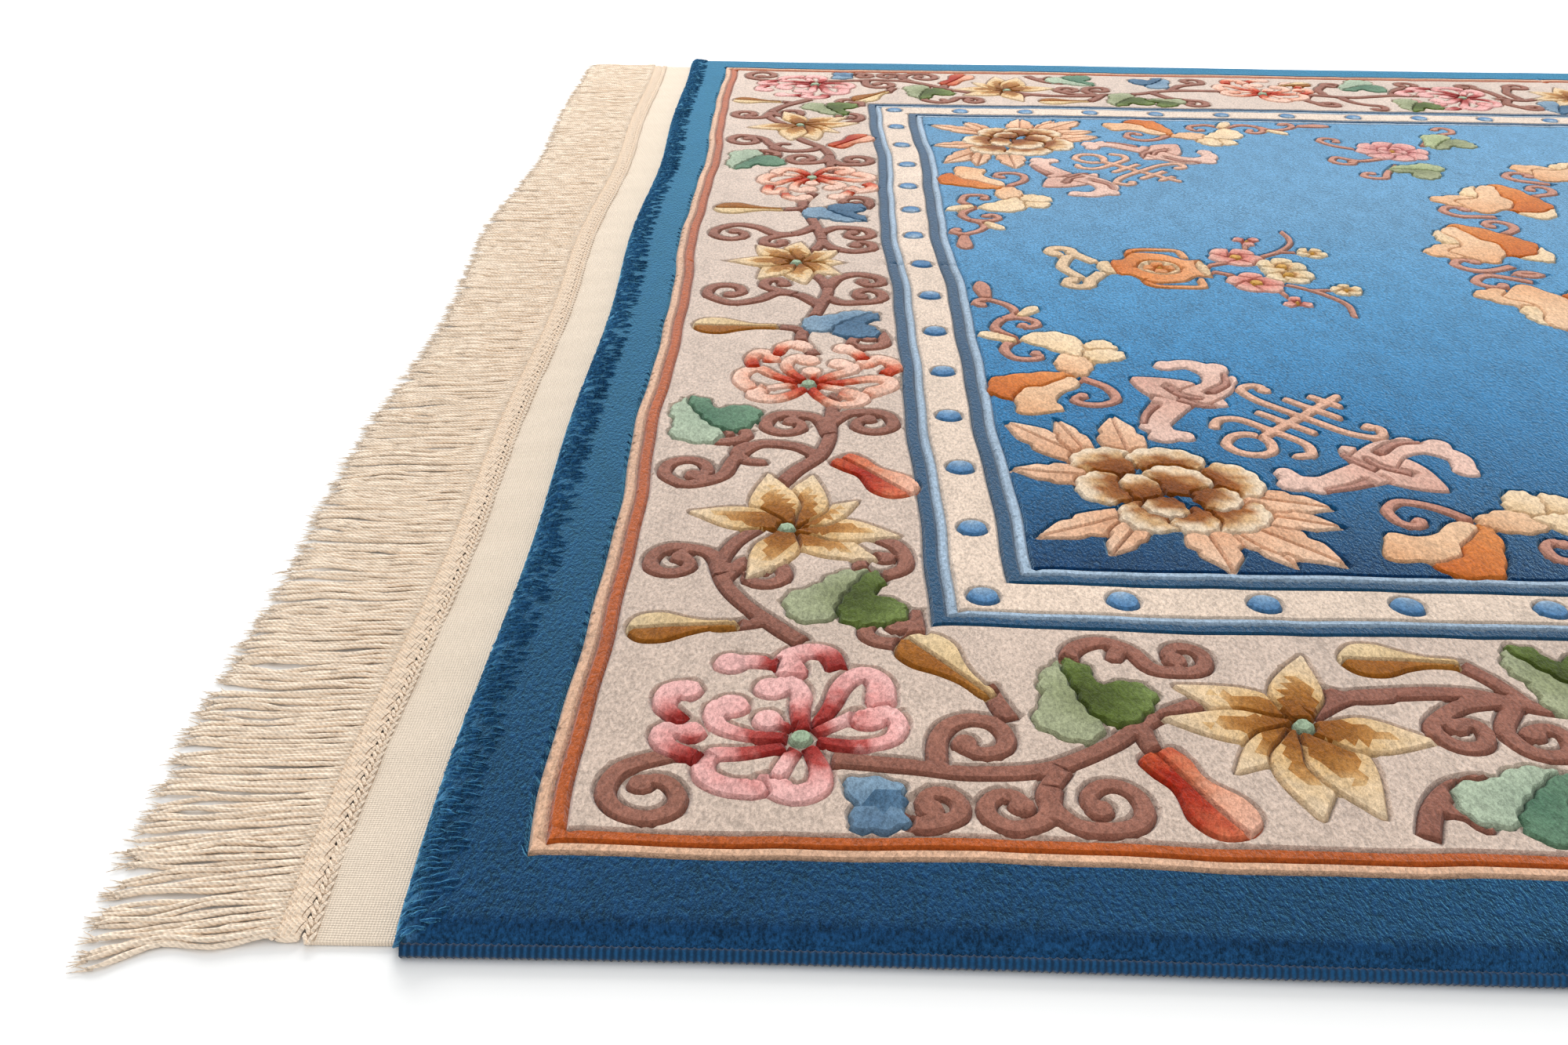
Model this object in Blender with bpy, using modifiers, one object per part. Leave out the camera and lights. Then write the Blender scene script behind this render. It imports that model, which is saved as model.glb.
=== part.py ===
"""A carved Peking rug lying flat: knotted wool pile, flat-woven cotton ends, overcast sides and fringe.

Run with: blender --background --python part.py. Sizes are in metres, +Z is up, and the origin is at the
middle of the rug on the floor. X runs along the rug, and the fringes are at its -X and +X ends.
"""

import math

import bmesh
import bpy
from mathutils import Matrix, Vector

# Driving sizes. The pearls of the inner guard stripe are the module of the whole design.
PEARL_PITCH = 0.082
PEARLS_ALONG = 22
PEARLS_ACROSS = 14
BORDER = 3.35 * PEARL_PITCH
PILE_LENGTH = PEARLS_ALONG * PEARL_PITCH + 2 * BORDER
PILE_WIDTH = PEARLS_ACROSS * PEARL_PITCH + 2 * BORDER
PILE_HEIGHT = 0.013
PILE_SHOULDER = 0.004
GAP = 0.0003

GROOVE_DEPTH = 0.0022
GROOVE_HALF = 0.0022
RELIEF = 0.0015
RELIEF_SLOPE = 0.0035
RELIEF_ROOT = 0.002

WEB_WIDTH = 0.041
WEB_THICK = 0.0025

HEADING_WIDTH = 0.013
HEADING_THICK = 0.0045
HEADING_START = PILE_LENGTH / 2 + WEB_WIDTH + 2 * GAP
HEADING_END = HEADING_START + HEADING_WIDTH
FRINGE_LENGTH = 0.088
LENGTH_SPREAD = 0.08
LOCKS = 112
LOCK_SHARE = 0.62
LOCK_THICK = 0.0036
TIP_THICK = 0.0022
LEAN = 0.22

SELVEDGE_RADIUS = 0.0026
SELVEDGE_GAP = 0.0006

# The rug isn't quite true: its ends and sides wander by these amounts over these lengths.
END_WANDER = 0.0022
END_WAVE = 0.43
SIDE_WANDER = 0.0016
SIDE_WAVE = 0.78
STATIONS_ALONG = 14
STATIONS_ACROSS = 10

# Lines carved round the whole rug, as distances in from the pile's edge, in pearl pitches.
CARVED_LINES = {
    "band to peach stripe": 0.595,
    "peach to rust stripe": 0.690,
    "rust stripe to border": 0.795,
    "border to guard": 2.960,
    "guard to cream": 3.150,
    "cream to inner guard": 3.550,
    "inner guard to field": 3.760,
}

PEARL_RADIUS = 0.0115
PEARL_SIDES = 6

# Raised islands of the design in one quarter of the rug, which the other three mirror. Places and sizes are
# in pearl pitches from the corner pearl: x along the rug and y across it, below zero in the border.
# columns: x, y, turn in degrees, then petals with outer and inner radius, or a leaf's length and width
FLOWERS = [
    {"x": -1.40, "y": 1.15, "petals": 6, "outer": 0.68, "inner": 0.30},
    {"x": -1.35, "y": 4.00, "petals": 6, "outer": 0.78, "inner": 0.60},
    {"x": -1.35, "y": 7.00, "petals": 6, "outer": 0.55, "inner": 0.26},
    {"x": -1.35, "y": -1.35, "petals": 6, "outer": 0.80, "inner": 0.62},
    {"x": 1.90, "y": -1.40, "petals": 6, "outer": 0.72, "inner": 0.32},
    {"x": 5.55, "y": -1.40, "petals": 6, "outer": 0.78, "inner": 0.60},
    {"x": 8.70, "y": -1.30, "petals": 6, "outer": 0.78, "inner": 0.60},
    {"x": 11.0, "y": -1.35, "petals": 6, "outer": 0.55, "inner": 0.26},
    {"x": 1.72, "y": 1.62, "petals": 8, "outer": 1.05, "inner": 0.72},
    {"x": 2.95, "y": 2.95, "petals": 4, "outer": 0.42, "inner": 0.36},
    {"x": 6.95, "y": 1.95, "petals": 6, "outer": 0.62, "inner": 0.48},
    {"x": 2.75, "y": 7.00, "petals": 4, "outer": 0.50, "inner": 0.46},
    {"x": 3.75, "y": 7.45, "petals": 5, "outer": 0.34, "inner": 0.26},
    {"x": 11.0, "y": 7.00, "petals": 10, "outer": 1.70, "inner": 1.30},
]
LEAVES = [
    {"x": 2.10, "y": 3.55, "turn": 80, "length": 1.5, "width": 0.62},
    {"x": 3.75, "y": 2.05, "turn": 15, "length": 1.5, "width": 0.62},
    {"x": 0.90, "y": 3.70, "turn": -60, "length": 0.9, "width": 0.55},
    {"x": 1.40, "y": 4.65, "turn": 40, "length": 1.0, "width": 0.60},
    {"x": 3.60, "y": 0.95, "turn": -20, "length": 0.9, "width": 0.55},
    {"x": 4.55, "y": 1.60, "turn": 30, "length": 1.0, "width": 0.60},
    {"x": 6.95, "y": 3.10, "turn": -10, "length": 1.0, "width": 0.62},
    {"x": 7.95, "y": 1.50, "turn": -60, "length": 1.0, "width": 0.62},
    {"x": 1.80, "y": 7.00, "turn": 90, "length": 1.3, "width": 0.60},
]
MEDALLION = {"leaves": 14, "radius": 4.45, "turn": 70, "length": 1.5, "width": 0.8}

# Sections of one lock of the fringe: share of its length, share of its width, share of its lean.
LOCK_SECTIONS = [
    {"along": 0.0, "width": 1.00, "lean": 0.0},
    {"along": 0.5, "width": 0.90, "lean": 0.4},
    {"along": 1.0, "width": 0.55, "lean": 1.0},
]

WOOL_BLUE = (0.035, 0.155, 0.352)
COTTON = (0.776, 0.665, 0.503)
COTTON_CORD = (0.730, 0.590, 0.420)
SELVEDGE_BLUE = (0.030, 0.120, 0.270)


def clear_scene():
    for obj in list(bpy.data.objects):
        bpy.data.objects.remove(obj)


def make_collection(name):
    collection = bpy.data.collections.new(name)
    bpy.context.scene.collection.children.link(collection)
    return collection


def make_material(name, colour, roughness):
    material = bpy.data.materials.new(name)
    material.use_nodes = True
    shader = material.node_tree.nodes["Principled BSDF"]
    shader.inputs["Base Color"].default_value = (*colour, 1.0)
    shader.inputs["Roughness"].default_value = roughness
    shader.inputs["Metallic"].default_value = 0.0
    return material


def object_from_bmesh(bm, name, collection, material=None):
    mesh = bpy.data.meshes.new(name)
    bm.to_mesh(mesh)
    bm.free()
    obj = bpy.data.objects.new(name, mesh)
    collection.objects.link(obj)
    if material:
        mesh.materials.append(material)
    return obj


def wandered(x, y):
    """Moves a place on the true rectangle to where it lies on the rug, whose edges wander a little."""
    ends = math.sin(2 * math.pi * y / END_WAVE) + 0.6 * math.sin(2 * math.pi * y / (1.7 * END_WAVE) + 1.0)
    sides = math.sin(2 * math.pi * x / SIDE_WAVE + 0.5)
    out_x = END_WANDER * ends * x / (PILE_LENGTH / 2)
    out_y = SIDE_WANDER * sides * y / (PILE_WIDTH / 2)
    return x + out_x, y + out_y


def pile_outline():
    """Points round the pile's edge, anticlockwise from the corner at -X, -Y."""
    half_x, half_y = PILE_LENGTH / 2, PILE_WIDTH / 2
    places = [(-half_x + PILE_LENGTH * i / STATIONS_ALONG, -half_y) for i in range(STATIONS_ALONG)]
    places += [(half_x, -half_y + PILE_WIDTH * i / STATIONS_ACROSS) for i in range(STATIONS_ACROSS)]
    places += [(-x, -y) for x, y in places]
    return [wandered(x, y) for x, y in places]


def draw_in(bm, edges, taken, inset, height):
    """Extrudes a ring of edges and draws it in, from one distance inside the outline to the next."""
    grown = bmesh.ops.extrude_edge_only(bm, edges=edges)["geom"]
    ring = [item for item in grown if isinstance(item, bmesh.types.BMVert)]
    shrink_x = (PILE_LENGTH / 2 - inset) / (PILE_LENGTH / 2 - taken)
    shrink_y = (PILE_WIDTH / 2 - inset) / (PILE_WIDTH / 2 - taken)
    bmesh.ops.scale(bm, vec=(shrink_x, shrink_y, 1.0), verts=ring)
    for vertex in ring:
        vertex.co.z = height
    return [item for item in grown if isinstance(item, bmesh.types.BMEdge)]


def pile_profile():
    """The section of the slab from its edge inwards: rounded rim, then each carved line as a small V."""
    profile = [(0.0, PILE_HEIGHT - PILE_SHOULDER)]
    profile.append((0.35 * PILE_SHOULDER, PILE_HEIGHT - 0.3 * PILE_SHOULDER))
    profile.append((1.35 * PILE_SHOULDER, PILE_HEIGHT))
    for share in CARVED_LINES.values():
        line = share * PEARL_PITCH
        profile.append((line - GROOVE_HALF, PILE_HEIGHT))
        profile.append((line, PILE_HEIGHT - GROOVE_DEPTH))
        profile.append((line + GROOVE_HALF, PILE_HEIGHT))
    return profile


def make_pile_slab(collection, material):
    bm = bmesh.new()
    base = bm.faces.new([bm.verts.new((x, y, 0.0)) for x, y in pile_outline()])
    ring = list(base.edges)
    taken = 0.0
    for inset, height in pile_profile():
        ring = draw_in(bm, ring, taken, inset, height)
        taken = inset
    bmesh.ops.edgeloop_fill(bm, edges=ring)
    bmesh.ops.recalc_face_normals(bm, faces=bm.faces)
    return object_from_bmesh(bm, "pile", collection, material)


def raise_shape(bm, centre, turn, radii):
    """A low flat-topped island on the pile, whose outline has one radius for each equal step of angle."""
    count = len(radii)
    made = bmesh.ops.create_cone(
        bm, cap_ends=True, cap_tris=False, segments=count, radius1=1.0, radius2=1.0, depth=1.0
    )
    for vertex in made["verts"]:
        angle = math.atan2(vertex.co.y, vertex.co.x)
        step = round(angle / (2 * math.pi / count)) % count
        is_top = vertex.co.z > 0
        radius = radii[step] - (RELIEF_SLOPE if is_top else 0.0)
        height = RELIEF if is_top else -RELIEF_ROOT
        vertex.co = Vector((radius * math.cos(angle), radius * math.sin(angle), PILE_HEIGHT + height))
    place = Matrix.Translation((*centre, 0.0)) @ Matrix.Rotation(turn, 4, "Z")
    bmesh.ops.transform(bm, matrix=place, verts=made["verts"])


def flower_radii(flower):
    """Radii of a flower seen from above: out to each petal's tip and in between two petals."""
    return [flower["outer"] * PEARL_PITCH, flower["inner"] * PEARL_PITCH] * flower["petals"]


def leaf_radii(leaf):
    """Radii of a plain pointed leaf about its middle, pointing along +X, in eight steps."""
    half_length, half_width = leaf["length"] * PEARL_PITCH / 2, leaf["width"] * PEARL_PITCH / 2
    between = 0.4 * (half_length + half_width)
    return [half_length, between, half_width, between] * 2


def pearl_places():
    """The middle of each pearl, once round the rug."""
    half_x, half_y = PEARLS_ALONG * PEARL_PITCH / 2, PEARLS_ACROSS * PEARL_PITCH / 2
    places = []
    for i in range(PEARLS_ALONG):
        x = -half_x + i * PEARL_PITCH
        places += [(x, -half_y), (-x, half_y)]
    for i in range(PEARLS_ACROSS):
        y = -half_y + i * PEARL_PITCH
        places += [(half_x, y), (-half_x, -y)]
    return places


def quarters(x, y, turn):
    """Where an island of the first quarter lies in all four, in metres from the middle, each place once."""
    from_middle_x = (PEARLS_ALONG / 2 - x) * PEARL_PITCH
    from_middle_y = (PEARLS_ACROSS / 2 - y) * PEARL_PITCH
    places = {}
    for side_x in (-1, 1):
        for side_y in (-1, 1):
            angle = side_x * side_y * turn + (math.pi if side_x > 0 else 0.0)
            place = (round(side_x * from_middle_x, 6), round(side_y * from_middle_y, 6))
            places.setdefault(place, angle)
    return places.items()


def make_relief(helpers):
    """Every raised island of the design in one helper mesh: pearls, flowers, leaves and the medallion."""
    bm = bmesh.new()
    for centre in pearl_places():
        raise_shape(bm, centre, 0.0, [PEARL_RADIUS] * PEARL_SIDES)
    for flower in FLOWERS:
        for centre, turn in quarters(flower["x"], flower["y"], 0.0):
            raise_shape(bm, centre, turn, flower_radii(flower))
    for leaf in LEAVES:
        for centre, turn in quarters(leaf["x"], leaf["y"], math.radians(leaf["turn"])):
            raise_shape(bm, centre, turn, leaf_radii(leaf))
    for i in range(MEDALLION["leaves"]):
        angle = 2 * math.pi * (i + 0.5) / MEDALLION["leaves"]
        reach = MEDALLION["radius"] * PEARL_PITCH
        centre = (reach * math.cos(angle), reach * math.sin(angle))
        raise_shape(bm, centre, angle + math.radians(MEDALLION["turn"]), leaf_radii(MEDALLION))
    relief = object_from_bmesh(bm, "relief_of_the_pattern", helpers)
    relief.hide_render = True
    relief.display_type = "WIRE"
    return relief


def make_pile(parts, helpers, material):
    pile = make_pile_slab(parts, material)
    raised = pile.modifiers.new("raised_pattern", "BOOLEAN")
    raised.operation = "UNION"
    raised.solver = "EXACT"
    raised.object = make_relief(helpers)
    return pile


def make_web(name, side, collection, material):
    """The flat-woven cotton end: a thin strip along the pile's end, following its edge."""
    bm = bmesh.new()
    bmesh.ops.create_grid(bm, x_segments=1, y_segments=STATIONS_ACROSS, size=0.5)
    inner = PILE_LENGTH / 2 + GAP
    for vertex in bm.verts:
        x = inner + (vertex.co.x + 0.5) * WEB_WIDTH
        vertex.co = Vector((*wandered(side * x, vertex.co.y * PILE_WIDTH), 0.0))
    if side < 0:
        bmesh.ops.reverse_faces(bm, faces=bm.faces)
    web = object_from_bmesh(bm, name, collection, material)
    thicken = web.modifiers.new("cloth_thickness", "SOLIDIFY")
    thicken.thickness = WEB_THICK
    thicken.offset = 1.0
    return web


def lock_outline(i):
    """One lock of the fringe as points from its root out to its tip and back, before the ends' wander."""
    pitch = PILE_WIDTH / LOCKS
    y = -PILE_WIDTH / 2 + (i + 0.5) * pitch
    reach = FRINGE_LENGTH * (1.0 + LENGTH_SPREAD * (math.sin(2.3 * i) + math.sin(0.37 * i)) / 2)
    lean = LEAN * pitch * (math.sin(0.9 * i) + math.sin(0.31 * i + 1.0)) / 2
    outwards = []
    back = []
    for section in LOCK_SECTIONS:
        x = HEADING_END + section["along"] * reach
        middle = y + section["lean"] * lean
        half_width = section["width"] * LOCK_SHARE * pitch / 2
        outwards.append((x, middle - half_width))
        back.append((x, middle + half_width))
    return outwards + back[::-1]


def fringe_outline(side):
    """The heading with its locks as one flat comb."""
    half = PILE_WIDTH / 2
    places = [(HEADING_START, -half), (HEADING_END, -half)]
    for i in range(LOCKS):
        places += lock_outline(i)
    places.append((HEADING_END, half))
    places += [(HEADING_START, half - PILE_WIDTH * i / STATIONS_ACROSS) for i in range(STATIONS_ACROSS)]
    return [wandered(side * x, y) for x, y in places]


def make_fringe(name, side, collection, material):
    """Heading and fringe of one end: a flat comb, thick at the heading and thin at the locks' tips."""
    curve = bpy.data.curves.new(name, "CURVE")
    curve.dimensions = "2D"
    curve.fill_mode = "BOTH"
    curve.extrude = HEADING_THICK / 2
    outline = fringe_outline(side)
    spline = curve.splines.new("POLY")
    spline.points.add(len(outline) - 1)
    for point, (x, y) in zip(spline.points, outline):
        point.co = (x, y, 0.0, 1.0)
    spline.use_cyclic_u = True
    drawn = bpy.data.objects.new(name + "_outline", curve)
    collection.objects.link(drawn)
    bpy.context.view_layer.update()
    graph = bpy.context.evaluated_depsgraph_get()
    mesh = bpy.data.meshes.new_from_object(drawn.evaluated_get(graph))
    bpy.data.objects.remove(drawn)
    bm = bmesh.new()
    bm.from_mesh(mesh)
    bmesh.ops.remove_doubles(bm, verts=bm.verts, dist=0.00002)
    for vertex in bm.verts:
        beyond = (abs(vertex.co.x) - HEADING_END - 2 * END_WANDER) / FRINGE_LENGTH
        if vertex.co.z < 0:
            vertex.co.z = 0.0
        elif beyond < 0:
            vertex.co.z = HEADING_THICK
        else:
            vertex.co.z = LOCK_THICK + (TIP_THICK - LOCK_THICK) * min(beyond, 1.0)
    bmesh.ops.recalc_face_normals(bm, faces=bm.faces)
    return object_from_bmesh(bm, name, collection, material)


def make_selvedge(name, side, collection, material):
    """The overcast edge of one long side: a round cord on the floor beside the pile."""
    curve = bpy.data.curves.new(name, "CURVE")
    curve.dimensions = "3D"
    curve.bevel_depth = SELVEDGE_RADIUS
    curve.bevel_resolution = 2
    curve.use_fill_caps = True
    out = PILE_WIDTH / 2 + SELVEDGE_RADIUS + SELVEDGE_GAP
    spline = curve.splines.new("POLY")
    spline.points.add(STATIONS_ALONG)
    for i, point in enumerate(spline.points):
        x, y = wandered(-PILE_LENGTH / 2 + PILE_LENGTH * i / STATIONS_ALONG, side * out)
        point.co = (x, y, SELVEDGE_RADIUS, 1.0)
    cord = bpy.data.objects.new(name, curve)
    cord.data.materials.append(material)
    collection.objects.link(cord)
    return cord


def main():
    clear_scene()
    parts = make_collection("peking_rug")
    helpers = make_collection("helpers")
    wool = make_material("pile_wool", WOOL_BLUE, 0.95)
    cotton = make_material("web_cotton", COTTON, 0.9)
    cord_cotton = make_material("fringe_cotton", COTTON_CORD, 0.85)
    overcast = make_material("selvedge_wool", SELVEDGE_BLUE, 0.9)
    make_pile(parts, helpers, wool)
    for end, side in (("left", -1), ("right", 1)):
        make_web(f"web_{end}", side, parts, cotton)
        make_fringe(f"fringe_{end}", side, parts, cord_cotton)
    for edge, side in (("near", -1), ("far", 1)):
        make_selvedge(f"selvedge_{edge}", side, parts, overcast)


main()
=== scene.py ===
# %% [markdown]
# # A carved Peking rug, made in Blender
#
# The real rug is knotted by hand: wool tufts are tied row by row onto a cotton ground, clipped level, and
# then a carver cuts a slanting groove along every outline, so that each petal and scroll stands up like low
# relief. The cotton ground runs on past the pile as a flat-woven end, is bound with a wrapped heading, and
# its warps leave the heading as a fringe. Wool is overcast along the two long sides.
#
# This lesson builds those pieces in that order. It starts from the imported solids, which say how large each
# piece is and where it lies. Everything is in metres, with the floor at zero height.

import math

import bpy
import numpy as np
from mathutils import Matrix, Vector
from mathutils.geometry import delaunay_2d_cdt
from mathutils.kdtree import KDTree


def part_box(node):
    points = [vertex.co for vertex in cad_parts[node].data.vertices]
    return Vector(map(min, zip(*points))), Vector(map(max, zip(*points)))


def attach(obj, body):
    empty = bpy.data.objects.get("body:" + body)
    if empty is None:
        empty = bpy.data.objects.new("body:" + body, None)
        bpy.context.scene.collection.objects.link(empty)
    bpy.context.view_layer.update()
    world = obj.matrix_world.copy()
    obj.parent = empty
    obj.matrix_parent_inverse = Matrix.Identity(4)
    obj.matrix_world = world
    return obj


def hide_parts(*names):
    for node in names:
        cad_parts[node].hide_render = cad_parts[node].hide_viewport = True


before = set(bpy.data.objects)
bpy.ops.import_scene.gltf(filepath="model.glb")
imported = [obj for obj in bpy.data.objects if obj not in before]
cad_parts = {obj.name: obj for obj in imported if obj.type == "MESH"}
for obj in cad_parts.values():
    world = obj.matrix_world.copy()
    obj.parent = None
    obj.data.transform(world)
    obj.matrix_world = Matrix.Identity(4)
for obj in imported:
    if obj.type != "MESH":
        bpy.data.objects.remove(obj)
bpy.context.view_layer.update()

# %% [markdown]
# ## Driving sizes
#
# A rug like this is designed on squared paper. Its module is the pitch of the pearls in the guard stripe:
# there are 22 pitches along the rug and 14 across. The whole design below is drawn in pitches, for one
# quarter of the rug, from the corner pearl: x along the rug, y across it, and below zero out in the border.
# Complex numbers hold the places, because turning a shape is then one multiplication.

# %% Sizes
MM = 0.001
PITCH = 82 * MM
MIDDLE = complex(11, 7)
EDGE = -3.35
PILE_HEIGHT = 13 * MM
STEP = 0.040
GROOVE_WIDTH = 0.022
GROOVE_DEPTH = 2.6 * MM
RAISED = 1.0 * MM
RAISED_WITHIN = 0.055

pile_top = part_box("pile")[1]
half_length = (MIDDLE.real - EDGE) * PITCH
half_width = (MIDDLE.imag - EDGE) * PITCH
print("half the pile:", round(half_length, 4), "by", round(half_width, 4), "m, and its solid", pile_top)

# %% [markdown]
# ## Where a place on the drawing lies on the rug
#
# A knotted rug is never quite true. Its ends and sides wander by a couple of millimetres, and so do the lines
# inside it. The first function repeats the wander of the solids' edges, and the second adds the smaller
# wander of the lines, which dies out at the edges so that the pieces still fit.

# %% Wander
END_WANDER, END_WAVE = 2.2 * MM, 0.43
SIDE_WANDER, SIDE_WAVE = 1.6 * MM, 0.78
LINE_WANDER = 0.8 * MM
STILL_EDGE = 12 * MM


def wander(x, y):
    ends = np.sin(2 * np.pi * y / END_WAVE) + 0.6 * np.sin(2 * np.pi * y / (1.7 * END_WAVE) + 1.0)
    sides = np.sin(2 * np.pi * x / SIDE_WAVE + 0.5)
    return x + END_WANDER * ends * x / half_length, y + SIDE_WANDER * sides * y / half_width


def on_the_rug(x, y):
    to_edge = np.minimum(half_length - np.abs(x), half_width - np.abs(y))
    share = LINE_WANDER * np.clip(to_edge / STILL_EDGE, 0, 1)
    dx = np.sin(31 * y + 3.0) + 0.5 * np.sin(73 * y - 20 * x) + 0.5 * np.sin(13 * x + 19 * y + 1.0)
    dy = np.sin(27 * x + 1.0) + 0.5 * np.sin(79 * x + 24 * y) + 0.5 * np.sin(17 * x - 29 * y)
    return wander(x + share * dx, y + share * dy)


# %% [markdown]
# ## Dyes
#
# Each motif is worked in two to four shades of wool, changed knot by knot, so a petal runs from dark to
# light. A dye here is a list of shades from the root of a shape to its tip, written as the hex values that a
# paint program shows. Blender works with linear light, so one function turns them.

# %% Dyes
DYES = {
    "band blue": ["#0b3159"],
    "peach stripe": ["#e8bf9d"],
    "rust stripe": ["#bd5f22"],
    "border ground": ["#dfcdbb"],
    "guard blue": ["#1c5074"],
    "guard pale": ["#a9c6dc"],
    "guard cream": ["#f2e0ca"],
    # The field's stops are a painted shade: from its dark look along the near side to its lighter look
    # further off.
    "field blue with painted shade": ["#0a3862", "#277bb2", "#448fc1", "#5f99c3"],
    # Painted light for the rolled edge and the end locks: from the band's blue up to lit tips.
    "band blue painted light": ["#174672", "#3a7ab0", "#86bbe0"],
    # Painted highlight: a pearl runs from pale on one side to deeper blue on the other.
    "pearl": ["#b4cfe2", "#6f9fc8", "#4a80b2"],
    "border stem": ["#9a6857", "#a2705e"],
    "field stem": ["#c98f78", "#d29c86"],
    "pink lotus": ["#962a26", "#a6342e", "#bc514a", "#eca6a0", "#f8beb8", "#fcc8c2"],
    "coral lotus": ["#bc3418", "#c83e1c", "#dc6c48", "#f6b496", "#fed0b6", "#ffd8c2"],
    "lotus heart": ["#a9c4a4"],
    "lily": ["#b4803c", "#d9b070", "#eccd98", "#f2d9ae", "#f4dfba"],
    "lily flame": ["#8c5216", "#985e1c", "#aa7028", "#c89450", "#ecca90"],
    "bud gold": ["#b9823a", "#a0621c", "#a86c24"],
    "bud cream": ["#e3c48d", "#e9cf9c", "#efd9ab"],
    "red bud": ["#c95a30", "#ab2408", "#b83a1c", "#dd7a54"],
    "red bud tip": ["#cf5a38", "#e08860", "#f4b898", "#f6c2a6"],
    "pale leaf": ["#7f8a62", "#98a47a", "#aeb993"],
    "dark leaf": ["#47561f", "#586c2a", "#7d9450"],
    "pale teal": ["#a4bca2", "#b6cbb0"],
    "dark teal": ["#4f7a60", "#729a7c"],
    "blue leaf": ["#5f82a0", "#7397b2", "#8aabc2"],
    "blue leaf dark": ["#3f6685", "#5c83a2"],
    "peony": ["#7d430e", "#86490f", "#8f4e12", "#985818", "#a66626", "#deb57c", "#f6e2c0", "#f9e8ca"],
    "peony heart": ["#8f5f25", "#a97736", "#d9b274"],
    "peach leaf": ["#ecb68c", "#f8cda8", "#fddcbc"],
    "peach leaf dark": ["#e0a67c", "#efbf98", "#f8d0ae"],
    "bat": ["#e0b19e", "#ecc4b0", "#f4d2c0"],
    "bat dark": ["#b98876", "#cc9c8a"],
    "fret": ["#efbd9f", "#f0c4a8"],
    "orange leaf": ["#cc6a22", "#de8238", "#ec9f5a"],
    "orange leaf pale": ["#eeb684", "#f6cda2", "#fad6ae"],
    "cream leaf": ["#f2d29e", "#f9e0b6", "#fce8c4"],
    "stand": ["#ecd2ac", "#e9cda6"],
    "vase": ["#dd7f38", "#ee9c58", "#f2b684"],
    "vase cream": ["#efd9b2", "#ecd0a4"],
    "blossom pink": ["#b8432f", "#e59a8a", "#f3c4b2"],
    "blossom white": ["#d99b52", "#f1dcae", "#f5e6c4"],
    "blossom heart": ["#d9a84e"],
    "sprig pink": ["#c05a5c", "#e9a7a0", "#f3c6bb"],
    "sprig leaf": ["#9fb27a", "#bccb9b"],
}


# Sheen lays cool daylight over every shade, so the dye beneath is drawn a little deeper and warmer.
UNDER_SHEEN = np.array([0.80, 0.745, 0.74])


def linear(hex_value):
    """The linear colour of an sRGB hex value, as a row of three."""
    parts = np.array([int(hex_value[i : i + 2], 16) / 255 for i in (1, 3, 5)])
    return np.where(parts <= 0.04045, parts / 12.92, ((parts + 0.055) / 1.055) ** 2.4)


def shade(dye, share):
    """The dye's colour at each share of the way from a shape's root to its tip."""
    stops = np.array([linear(value) for value in DYES[dye]]) * UNDER_SHEEN
    at = np.linspace(0, 1, len(stops)) if len(stops) > 1 else np.zeros(1)
    return np.stack([np.interp(share, at, stops[:, k]) for k in range(3)], axis=-1)


print(len(DYES), "dyes")

# %% [markdown]
# ## Tools for drawing outlines
#
# Three tools draw the whole design. `smooth` runs a round curve through a few points. `both_sides` turns one
# side of a petal into its outline. `ribbon` gives a curve its width, which makes a stem or a scroll.

# %% Drawing tools


def smooth(points, closed=False):
    """A round curve through these places, with a point about every STEP."""
    p = np.array(points, complex)
    if closed:
        knots = np.concatenate([p[-1:], p, p[:2]])
    else:
        knots = np.concatenate([2 * p[:1] - p[1:2], p, 2 * p[-1:] - p[-2:-1]])
    curve = []
    for a, b, c, d in zip(knots, knots[1:], knots[2:], knots[3:]):
        t = np.arange(0, 1, 1 / max(1, round(abs(c - b) / STEP)))
        bend = (2 * a - 5 * b + 4 * c - d) * t**2 + (3 * b - a - 3 * c + d) * t**3
        curve.append(0.5 * (2 * b + (c - a) * t + bend))
    if not closed:
        curve.append(p[-1:])
    return np.concatenate(curve)


def both_sides(side, length, width):
    """A closed outline along +x from one side of it, given as (share of length, share of width) pairs."""
    upper = np.array([complex(x * length, y * width) for x, y in side])
    lower = upper[upper.imag > 0][::-1].conj()
    return smooth(np.concatenate([upper, lower]), closed=True)


def one_side(side, length, width):
    """The half of such an outline that lies above its middle line."""
    upper = smooth([complex(x * length, y * width) for x, y in side])
    count = max(2, round(length / STEP))
    back = np.linspace(upper[-1].real, upper[0].real, count)[1:]
    return np.concatenate([upper, back.astype(complex)])


def scalloped(places, bumps, depth=0.03):
    """A closed outline through these places, with a margin of small round bumps."""
    line = smooth([complex(*place) for place in places], closed=True)
    step = np.abs(np.roll(line, -1) - line)
    share = np.cumsum(step) / step.sum()
    along = np.roll(line, -1) - np.roll(line, 1)
    area = (line.conj() * np.roll(line, -1)).imag.sum()
    outward = -1j * np.sign(area) * along / np.maximum(np.abs(along), 1e-9)
    return line + outward * depth * (np.abs(np.sin(np.pi * bumps * share)) - 0.4)


def bent(points, bend, length):
    """Points of a petal along +x, turned further the further they lie from its root."""
    return points * np.exp(1j * bend * np.clip(np.abs(points) / length, 0, 1))


def circle(centre, radius):
    turn = np.linspace(0, 2 * np.pi, max(8, round(2 * np.pi * radius / STEP)), endpoint=False)
    return centre + radius * np.exp(1j * turn)


def ribbon(path, first_width, last_width):
    """The outline of a stem that follows the path, with a round end."""
    along = np.gradient(path)
    normal = 1j * along / np.abs(along)
    half = np.linspace(first_width, last_width, len(path)) / 2
    cap = path[-1] - normal[-1] * half[-1] * np.exp(1j * np.linspace(np.pi, 0, 5)[1:-1])
    return np.concatenate([path + normal * half, cap, (path - normal * half)[::-1]])


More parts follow.
